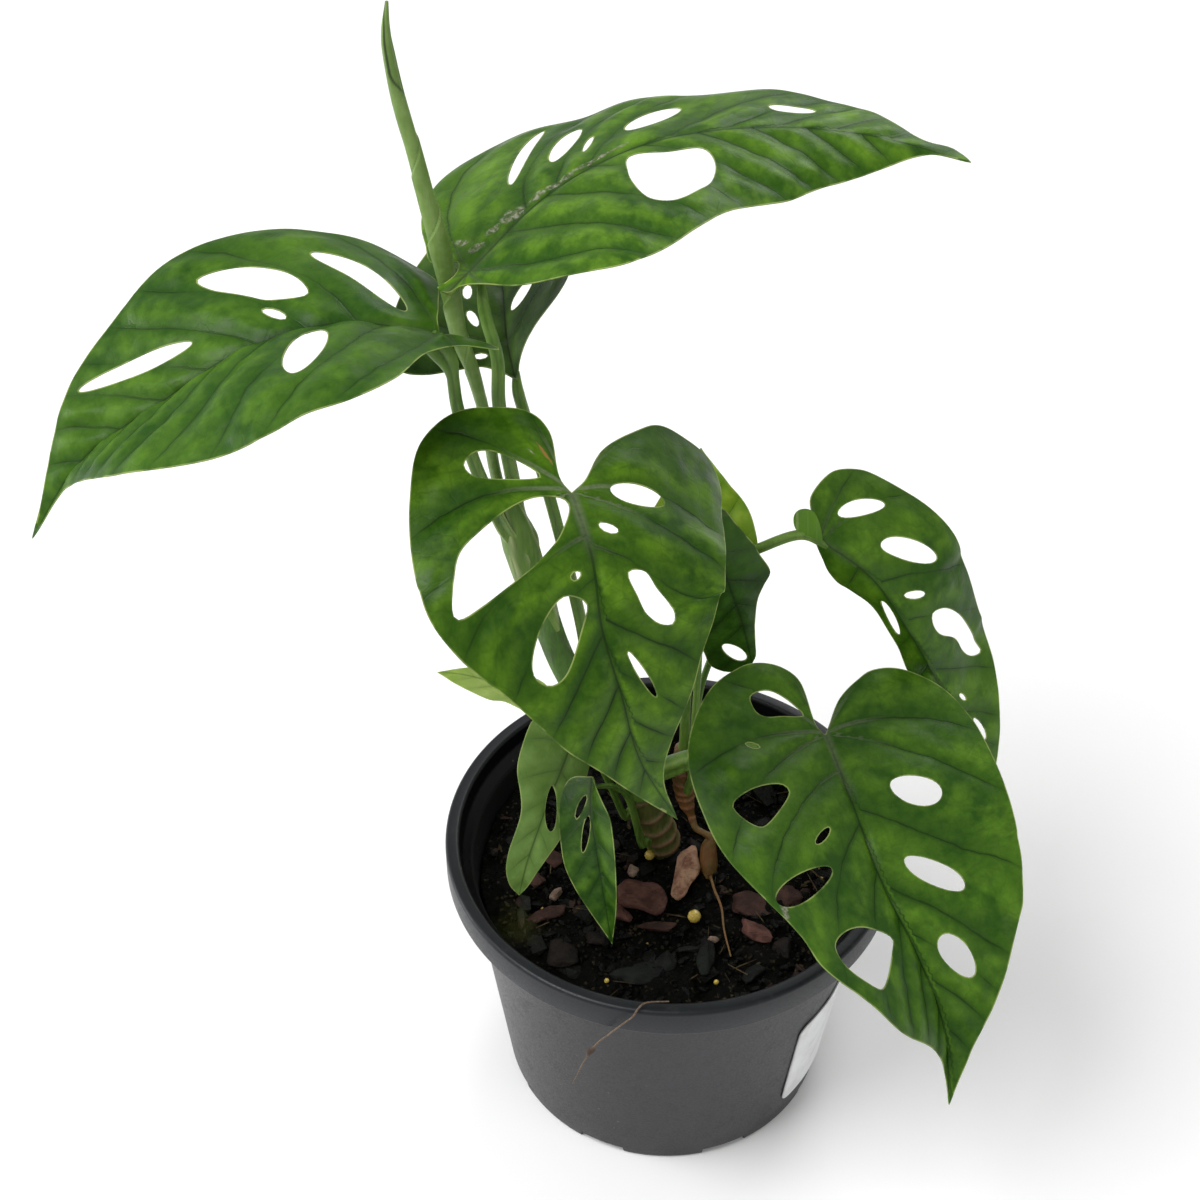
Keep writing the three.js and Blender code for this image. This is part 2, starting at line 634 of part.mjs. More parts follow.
// Thickens the flat triangles into a bent plate: both faces alike, and a wall along every open edge
function bentBlade(leaf) {
  const { triangles, spots } = flatBlade(leaf);
  const order = [...spots.keys()];
  const index = new Map(order.map((v, i) => [v, i]));
  const count = order.length;
  const positions = [];
  for (const height of [bladeThickness / 2, -bladeThickness / 2]) {
    for (const v of order) {
      const [across, along] = spots.get(v);
      positions.push(...leafPoint(leaf, across, along, height).toArray());
    }
  }
  const faces = [];
  const edges = new Set(triangles.flatMap(([a, b, c]) => [`${a} ${b}`, `${b} ${c}`, `${c} ${a}`]));
  for (const triangle of triangles) {
    const [a, b, c] = triangle.map((v) => index.get(v));
    faces.push(a, b, c, count + a, count + c, count + b);
    for (const [from, to] of [[0, 1], [1, 2], [2, 0]]) {
      if (edges.has(`${triangle[to]} ${triangle[from]}`)) continue;
      const p = index.get(triangle[from]);
      const q = index.get(triangle[to]);
      faces.push(p, count + p, q, q, count + p, count + q);
    }
  }
  const geometry = new THREE.BufferGeometry();
  geometry.setAttribute('position', new THREE.Float32BufferAttribute(positions, 3));
  geometry.setIndex(faces);
  return toSolid(geometry);
}

function ribSolid(leaf) {
  const stations = [0.005, 0.2, 0.4, 0.6, 0.8, 0.95]; // shares of the midrib's length
  const points = stations.map((u) => leafPoint(leaf, 0, u * leaf.length, -ribDepth));
  return sweep(points, stations.map((u) => mix(ribRadii[0], ribRadii[1], u)), 4, 1);
}

function petioleSolid(leaf) {
  const { via, radii } = leaf.petiole;
  const attachment = leafPoint(leaf, 0, 1.5, -0.1); // just inside the blade's base
  const points = [...petioleFoot(leaf.petiole), ...via.map(vector), attachment];
  return sweep(points, points.map((p, i) => mix(radii[0], radii[1], i / (points.length - 1))), 6);
}

function leafSolid(leaf) {
  const curve = smooth(leaf.midrib.map(vector));
  const placed = { ...leaf, curve, length: curve.getLength() };
  const parts = [bentBlade(placed), petioleSolid(placed)];
  if (placed.length > ribbedFrom) parts.push(ribSolid(placed));
  return largest(joined(parts));
}

function rolledLeafSolid() {
  const { top, axis, radii, overlap, turns, rolledFrom, rolledBy } = rolledLeaf;
  const foot = petioleFoot({ stem: 'main_stem', top, radii })[0];
  const section = (angle, u) => {
    const rolled = THREE.MathUtils.smoothstep(u, rolledFrom, rolledBy);
    const round = THREE.MathUtils.euclideanModulo(angle / (2 * Math.PI) + turns * u, 1);
    return 1 + rolled * overlap * (round - 0.5);
  };
  return sweep([foot, ...axis.map(vector)], radii, 10, 2, section);
}

// Pot, soil and what lies on it

const wallRadius = (z) => mix(footRadius, wallTopRadius, z / (potHeight - skirtDepth));

function lathe(profile, segments) {
  const points = profile.map(([r, z]) => new THREE.Vector2(r, z));
  return new THREE.LatheGeometry(points, segments).rotateX(Math.PI / 2);
}

function ringOfBoxes(size, radius, z, count, firstTurn) {
  return Array.from({ length: count }, (_, i) => {
    const turn = radians(firstTurn + (360 / count) * i - 90);
    const box = new THREE.BoxGeometry(...size).translate(radius, 0, z).rotateZ(turn);
    return toSolid(box);
  });
}

function potSolid() {
  const skirtFoot = potHeight - skirtDepth;
  const floorTop = floorLift + potWall;
  const skirtInside = rimRadius - potWall;
  const shoulder = 4.2; // height of the step between wall and lip
  const draft = 0.5; // how far short upright faces lean
  const lipUnderside = potHeight - potWall;
  const profile = [
    [0, 0],
    [padRadius, 0],
    [padRadius + draft, floorLift],
    [footRadius - footWidth, floorLift],
    [footRadius - footWidth + draft, 0],
    [footRadius - draft, 0],
    [wallRadius(1), 1],
    [wallTopRadius, skirtFoot],
    [lipRadius + potWall - draft, skirtFoot + shoulder],
    [lipRadius + potWall, lipUnderside],
    [skirtInside, lipUnderside],
    [skirtInside, skirtFoot],
    [rimRadius, skirtFoot],
    [rimRadius, potHeight - roundOver],
    [rimRadius - roundOver, potHeight],
    [lipRadius + roundOver, potHeight],
    [lipRadius, potHeight - roundOver],
    [lipRadius - draft, skirtFoot + shoulder],
    [wallTopRadius - potWall, skirtFoot],
    [wallRadius(floorTop) - potWall, floorTop],
    [0, floorTop]
  ];
  let pot = toSolid(lathe(profile, potSegments));
  const notches = ringOfBoxes(notchSize, footRadius - 1, 0, footNotches, notchTurn);
  const drains = ringOfBoxes(drainSize, drainRadius, floorLift + potWall / 2, footNotches, notchTurn);
  for (const cut of [...notches, ...drains]) {
    pot = pot.subtract(cut);
  }
  return pot;
}

function soilHeight(x, y) {
  const ripple = Math.sin(x * 0.31 + 1.3) * Math.cos(y * 0.27) + 0.6 * Math.sin(x * 0.13 - y * 0.19);
  return soilLevel + soilBump * ripple;
}

// Crumbs of bark and peat, half sunk in the soil
function crumbSolids() {
  const random = seededRandom(crumbSeed);
  const spread = 53;
  return Array.from({ length: crumbCount }, () => {
    const distance = spread * Math.sqrt(random());
    const turn = 2 * Math.PI * random();
    const x = distance * Math.cos(turn);
    const y = distance * Math.sin(turn);
    const crumb = new THREE.BoxGeometry(mix(3, 8, random()), mix(2, 4, random()), mix(2, 3, random()));
    crumb.rotateX(mix(-0.5, 0.5, random())).rotateY(mix(-0.4, 0.4, random())).rotateZ(Math.PI * random());
    return toSolid(crumb.translate(x, y, soilHeight(x, y) + 0.4));
  });
}

function soilSolid() {
  const bottom = floorLift + potWall + gap;
  const facetSpare = 0.15; // the wall's flats come nearer than its radius
  const chamfer = 0.5;
  const inside = (z) => wallRadius(z) - potWall - gap - facetSpare;
  const rim = inside(soilLevel);
  const profile = [
    [0, bottom],
    [inside(bottom) - chamfer, bottom],
    [inside(bottom + 2 * chamfer), bottom + 2 * chamfer],
    [rim, soilLevel]
  ];
  for (let i = soilRings - 1; i >= 0; i -= 1) {
    profile.push([(rim * i) / soilRings, soilLevel]);
  }
  const body = lathe(profile, soilSegments);
  const place = body.attributes.position;
  for (let i = 0; i < place.count; i += 1) {
    const x = place.getX(i);
    const y = place.getY(i);
    if (place.getZ(i) > soilLevel - 1 && Math.hypot(x, y) < rim - 1) {
      place.setZ(i, soilHeight(x, y));
    }
  }
  let soil = joined([toSolid(body), ...crumbSolids()]);
  const pockets = [
    ...Object.values(stems).map((stem) => stemSolid(stem, gap)),
    rootSolid(gap),
    ...barkChips.map((chip) => chipSolid(chip, gap)),
    ...beads.map((bead) => beadSolid(bead, gap))
  ];
  for (const pocket of pockets) {
    soil = soil.subtract(pocket);
  }
  return largest(soil);
}

// Cutting a pocket can free a scrap of soil, which is dropped
function largest(solid) {
  return solid.decompose().sort((a, b) => b.volume() - a.volume())[0];
}

function rootSolid(spare = 0) {
  return sweep(surfaceRoot.map(vector), surfaceRootRadii.map((r) => r + spare), 6);
}

function chipSolid({ at, half, turn }, spare = 0) {
  const chip = new THREE.DodecahedronGeometry(1.1, 0).scale(...half.map((h) => h + spare));
  return toSolid(chip.rotateZ(radians(turn)).translate(...at));
}

function beadSolid({ at, radius }, spare = 0) {
  return toSolid(new THREE.IcosahedronGeometry(radius + spare, 1).translate(...at));
}

function labelSolid() {
  const [from, to] = labelAngles.map(radians);
  const height = labelHeights[1] - labelHeights[0];
  const plate = new THREE.BoxGeometry(to - from, height, labelThickness, labelSegments, 1, 1);
  const place = plate.attributes.position;
  for (let i = 0; i < place.count; i += 1) {
    const turn = place.getX(i) + (from + to) / 2;
    const z = place.getY(i) + (labelHeights[0] + labelHeights[1]) / 2;
    const radius = wallRadius(z) + gap + labelThickness / 2 + place.getZ(i);
    place.setXYZ(i, radius * Math.sin(turn), -radius * Math.cos(turn), z);
  }
  return toSolid(plate);
}

// Assembly

const plant = new THREE.Group();

function addPiece(name, solid, color, roughness) {
  const material = new THREE.MeshStandardMaterial({ color, roughness });
  const mesh = new THREE.Mesh(toGeometry(solid), material);
  mesh.name = name;
  plant.add(mesh);
}

addPiece('pot', potSolid(), '#46464b', 0.45);
addPiece('soil', soilSolid(), '#1b1815', 0.95);
addPiece('label', labelSolid(), '#e6e6e6', 0.4);
addPiece('main_stem', stemSolid(stems.main_stem), '#6f7a3c', 0.6);
addPiece('side_stem', joined([stemSolid(stems.side_stem), rootSolid()]), '#7a5c34', 0.6);
leaves.forEach((leaf) => addPiece(leaf.name, leafSolid(leaf), leaf.color, 0.35));
addPiece('leaf_rolled', rolledLeafSolid(), '#7da050', 0.4);
addPiece('dry_stalk', sweep(dryStalk.map(vector), dryStalkRadii, 6), '#8a6a55', 0.8);
barkChips.forEach((chip, i) => addPiece(`bark_chip_${i + 1}`, chipSolid(chip), '#6b4a3e', 0.9));
beads.forEach((bead, i) => addPiece(`feed_bead_${i + 1}`, beadSolid(bead), '#c9a94e', 0.35));

export default plant;
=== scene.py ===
import math

import bmesh
import bpy
import numpy as np
from mathutils import Matrix, Vector, noise
from mathutils.geometry import delaunay_2d_cdt


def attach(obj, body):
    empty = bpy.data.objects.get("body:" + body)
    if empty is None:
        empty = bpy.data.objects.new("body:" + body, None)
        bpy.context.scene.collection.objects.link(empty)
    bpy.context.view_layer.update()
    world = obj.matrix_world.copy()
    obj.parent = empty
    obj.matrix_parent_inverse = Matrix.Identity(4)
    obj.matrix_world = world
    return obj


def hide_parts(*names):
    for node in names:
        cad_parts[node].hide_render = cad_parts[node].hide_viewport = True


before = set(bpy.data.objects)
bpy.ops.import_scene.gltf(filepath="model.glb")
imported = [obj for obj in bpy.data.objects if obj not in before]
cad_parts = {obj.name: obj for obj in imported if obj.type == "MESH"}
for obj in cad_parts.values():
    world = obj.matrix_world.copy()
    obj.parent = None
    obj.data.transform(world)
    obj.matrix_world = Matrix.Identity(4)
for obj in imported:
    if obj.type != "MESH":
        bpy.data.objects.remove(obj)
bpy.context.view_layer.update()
mm = 0.001
fine = 1.3  # mm between the points of a leaf blade


# Colours are typed as they look on a screen in the studio's light, 0 to 255
def colour(red, green, blue, light=1.15):
    def linear(c):
        c = max(c, 0) / 255
        return (c / 12.92 if c <= 0.04045 else ((c + 0.055) / 1.055) ** 2.4) / light
    return (linear(red), linear(green), linear(blue), 1)


class Finish:  # a material and short ways to add nodes to it
    def __init__(self, name, roughness=0.5, **constants):
        self.material = bpy.data.materials.new(name)
        self.material.use_nodes = True
        self.tree = self.material.node_tree
        self.surface = self.tree.nodes["Principled BSDF"]
        self.surface.inputs["Roughness"].default_value = roughness
        for socket, value in constants.items():
            self.surface.inputs[socket.replace("_", " ")].default_value = value

    def node(self, kind, feeds=(), **settings):
        made = self.tree.nodes.new("ShaderNode" + kind)
        for key, value in settings.items():
            setattr(made, key, value)
        for key, value in dict(feeds).items():
            self.feed(made.inputs[key], value)
        return made

    def feed(self, socket, value):
        if isinstance(value, bpy.types.NodeSocket):
            self.tree.links.new(value, socket)
        else:
            socket.default_value = value

    def sums(self, operation, a, b=0.0, clamp=False):
        return self.node("Math", {0: a, 1: b}, operation=operation, use_clamp=clamp).outputs[0]

    def times(self, a, b):
        return self.sums("MULTIPLY", a, b)

    def step(self, value, low, high, outLow=0.0, outHigh=1.0):  # soft step between two limits
        feeds = {"Value": value, "From Min": low, "From Max": high, "To Min": outLow, "To Max": outHigh}
        return self.node("MapRange", feeds, interpolation_type="SMOOTHSTEP").outputs[0]

    def blend(self, share, a, b):
        return self.node("Mix", {0: share, 6: a, 7: b}, data_type="RGBA").outputs[2]

    def tint(self, base, share, amount, tone):  # lays a tone over the base, no more than amount of it
        return self.blend(self.times(share, amount), base, tone)

    def attribute(self, name):
        return self.node("Attribute", attribute_name=name).outputs["Fac"]

    def place(self, scale=(1, 1, 1)):  # object coordinates, in mm, stretched
        here = self.node("TexCoord").outputs["Object"]
        feeds = {"Vector": here, "Scale": tuple(1000 * s for s in scale)}
        return self.node("Mapping", feeds).outputs[0]

    def cloud(self, vector, size, detail=3.0, roughness=0.55):  # noise with lumps of a size in mm
        feeds = {"Vector": vector, "Scale": 1 / size, "Detail": detail, "Roughness": roughness}
        return self.node("TexNoise", feeds).outputs["Fac"]

    def cells(self, vector, size, feature="DISTANCE_TO_EDGE", output="Distance"):
        feeds = {"Vector": vector, "Scale": 1 / size}
        return self.node("TexVoronoi", feeds, feature=feature).outputs[output]

    def done(self, base, roughness=None, height=None, depth=1.0, strength=1.0):
        self.feed(self.surface.inputs["Base Color"], base)
        if roughness is not None:
            self.feed(self.surface.inputs["Roughness"], roughness)
        if height is not None:
            feeds = {"Height": height, "Distance": depth * mm, "Strength": strength}
            self.feed(self.surface.inputs["Normal"], self.node("Bump", feeds).outputs[0])
        return self.material


# Curves through typed points, as the solids' own are: even Catmull-Rom for paths, centripetal for outlines
def curveThrough(points, step, closed=False, centripetal=False):
    p = np.array(points, float)
    if closed:
        p = np.vstack([p[-1], p, p[0], p[1]])
    else:
        p = np.vstack([2 * p[0] - p[1], p, 2 * p[-1] - p[-2]])
    dense = []
    knots = []
    for i in range(1, len(p) - 2):
        p0, p1, p2, p3 = p[i - 1:i + 3]
        if centripetal:
            d0, d1, d2 = [max(np.dot(b - a, b - a) ** 0.25, 1e-4)
                          for a, b in ((p0, p1), (p1, p2), (p2, p3))]
            m1 = ((p1 - p0) / d0 - (p2 - p0) / (d0 + d1) + (p2 - p1) / d1) * d1
            m2 = ((p2 - p1) / d1 - (p3 - p1) / (d1 + d2) + (p3 - p2) / d2) * d1
        else:
            m1 = 0.5 * (p2 - p0)
            m2 = 0.5 * (p3 - p1)
        t = np.linspace(0, 1, 40, endpoint=False)[:, None]
        hermite = (2 * t**3 - 3 * t**2 + 1) * p1 + (t**3 - 2 * t**2 + t) * m1
        hermite += (3 * t**2 - 2 * t**3) * p2 + (t**3 - t**2) * m2
        dense.append(hermite)
        knots.append(i - 1 + t[:, 0])
    dense.append(p[-2][None])
    knots.append([len(p) - 3])
    dense = np.vstack(dense)
    knots = np.concatenate(knots)
    reach = np.concatenate([[0], np.cumsum(np.linalg.norm(np.diff(dense, axis=0), axis=1))])
    count = max(int(round(reach[-1] / step)), 4)
    at = np.linspace(0, reach[-1], count + 1)
    spaced = np.stack([np.interp(at, reach, dense[:, k]) for k in range(dense.shape[1])], axis=1)
    return spaced, at, np.interp(at, reach, knots)


def smoothStep(x, low, high):
    t = np.clip((x - low) / (high - low), 0, 1)
    return t * t * (3 - 2 * t)


def ripple(x, y, size, seed, waves=7):  # gentle unevenness, about -1 to 1
    random = np.random.default_rng(seed)
    total = np.zeros(np.shape(x))
    for _ in range(waves):
        turn = random.uniform(0, 2 * math.pi)
        k = 2 * math.pi / size * random.uniform(0.6, 1.6)
        total = total + np.sin(k * (np.cos(turn) * x + np.sin(turn) * y) + random.uniform(0, 6.3))
    return total / math.sqrt(waves)


class Form:  # gathers points, faces and values of one piece before it becomes a mesh
    def __init__(self):
        self.points = []
        self.faces = []
        self.slots = []
        self.values = {}
        self.count = 0

    def add(self, points, faces, slot=0, **values):
        points = np.asarray(points, float)
        self.points.append(points)
        self.faces += [[int(v) + self.count for v in face] for face in faces]
        self.slots += [slot] * len(faces)
        for name in set(self.values) | set(values):
            store = self.values.setdefault(name, [np.zeros(self.count)])
            given = values.get(name, 0.0)
            store.append(np.broadcast_to(np.asarray(given, float), (len(points),)))
        self.count += len(points)

    def piece(self, name, finishes, sharp=None):
        mesh = bpy.data.meshes.new(name)
        mesh.from_pydata((np.vstack(self.points) * mm).tolist(), [], self.faces)
        for value, parts in self.values.items():
            layer = mesh.attributes.new(value, "FLOAT", "POINT")
            layer.data.foreach_set("value", np.concatenate(parts).astype(np.float32))
        for finish in finishes:
            mesh.materials.append(finish)
        mesh.polygons.foreach_set("material_index", self.slots)
        mesh.validate()
        mesh.shade_smooth()
        if sharp:
            mesh.set_sharp_from_angle(angle=math.radians(sharp))
        made = bpy.data.objects.new(name, mesh)
        bpy.context.scene.collection.objects.link(made)
        return made


def standsFor(piece, slot, *nodes):
    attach(piece, "root")
    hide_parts(*nodes)
    print(piece.name, len(piece.data.polygons), "faces")


def framesAlong(path, toward):
    tangent = np.gradient(path, axis=0)
    tangent /= np.linalg.norm(tangent, axis=1)[:, None]
    side = np.zeros_like(tangent)
    last = np.array(toward, float)
    for i, t in enumerate(tangent):
        last = last - t * np.dot(last, t)
        last /= np.linalg.norm(last)
        side[i] = last
    return tangent, side, np.cross(tangent, side)


# A closed bar along a path. section(turn, share, along) scales its radius; turn 0 faces toward.
def addBar(form, points, radii, sides=14, step=1.5, section=None, toward=(0, -1, 0.3), slot=0, **values):
    path, along, knot = curveThrough(points, step)
    below = np.minimum(knot.astype(int), len(radii) - 2)
    radius = np.array(radii, float)
    r = radius[below] + (radius[below + 1] - radius[below]) * (knot - below)
    tangent, side, third = framesAlong(path, toward)
    turn = np.linspace(-math.pi, math.pi, sides, endpoint=False)
    turns, share = np.meshgrid(turn, along / along[-1])
    lengths = np.repeat(along[:, None], sides, axis=1)
    scale = section(turns, share, lengths) if section else np.ones_like(turns)
    reach = r[:, None] * scale
    ring = path[:, None] + reach[..., None] * (
        np.cos(turns)[..., None] * side[:, None] + np.sin(turns)[..., None] * third[:, None])
    rows = len(path)
    ends = [path[0] - tangent[0] * r[0] * 0.5, path[-1] + tangent[-1] * r[-1] * 0.5]
    points = np.vstack([ring.reshape(-1, 3), *ends])
    faces = []
    for i in range(rows - 1):
        for j in range(sides):
            k = (j + 1) % sides
            faces.append([i * sides + j, i * sides + k, (i + 1) * sides + k, (i + 1) * sides + j])
    last = rows * sides
    for j in range(sides):
        k = (j + 1) % sides
        faces.append([last, k, j])
        faces.append([last + 1, (rows - 1) * sides + j, (rows - 1) * sides + k])
    where = [np.append(turns, [0, 0]), np.append(share, [0, 1]), np.append(lengths, [0, along[-1]])]
    form.add(points, faces, slot, turn=where[0], share=where[1], length=where[2],
             **{name: value(*where) if callable(value) else value for name, value in values.items()})


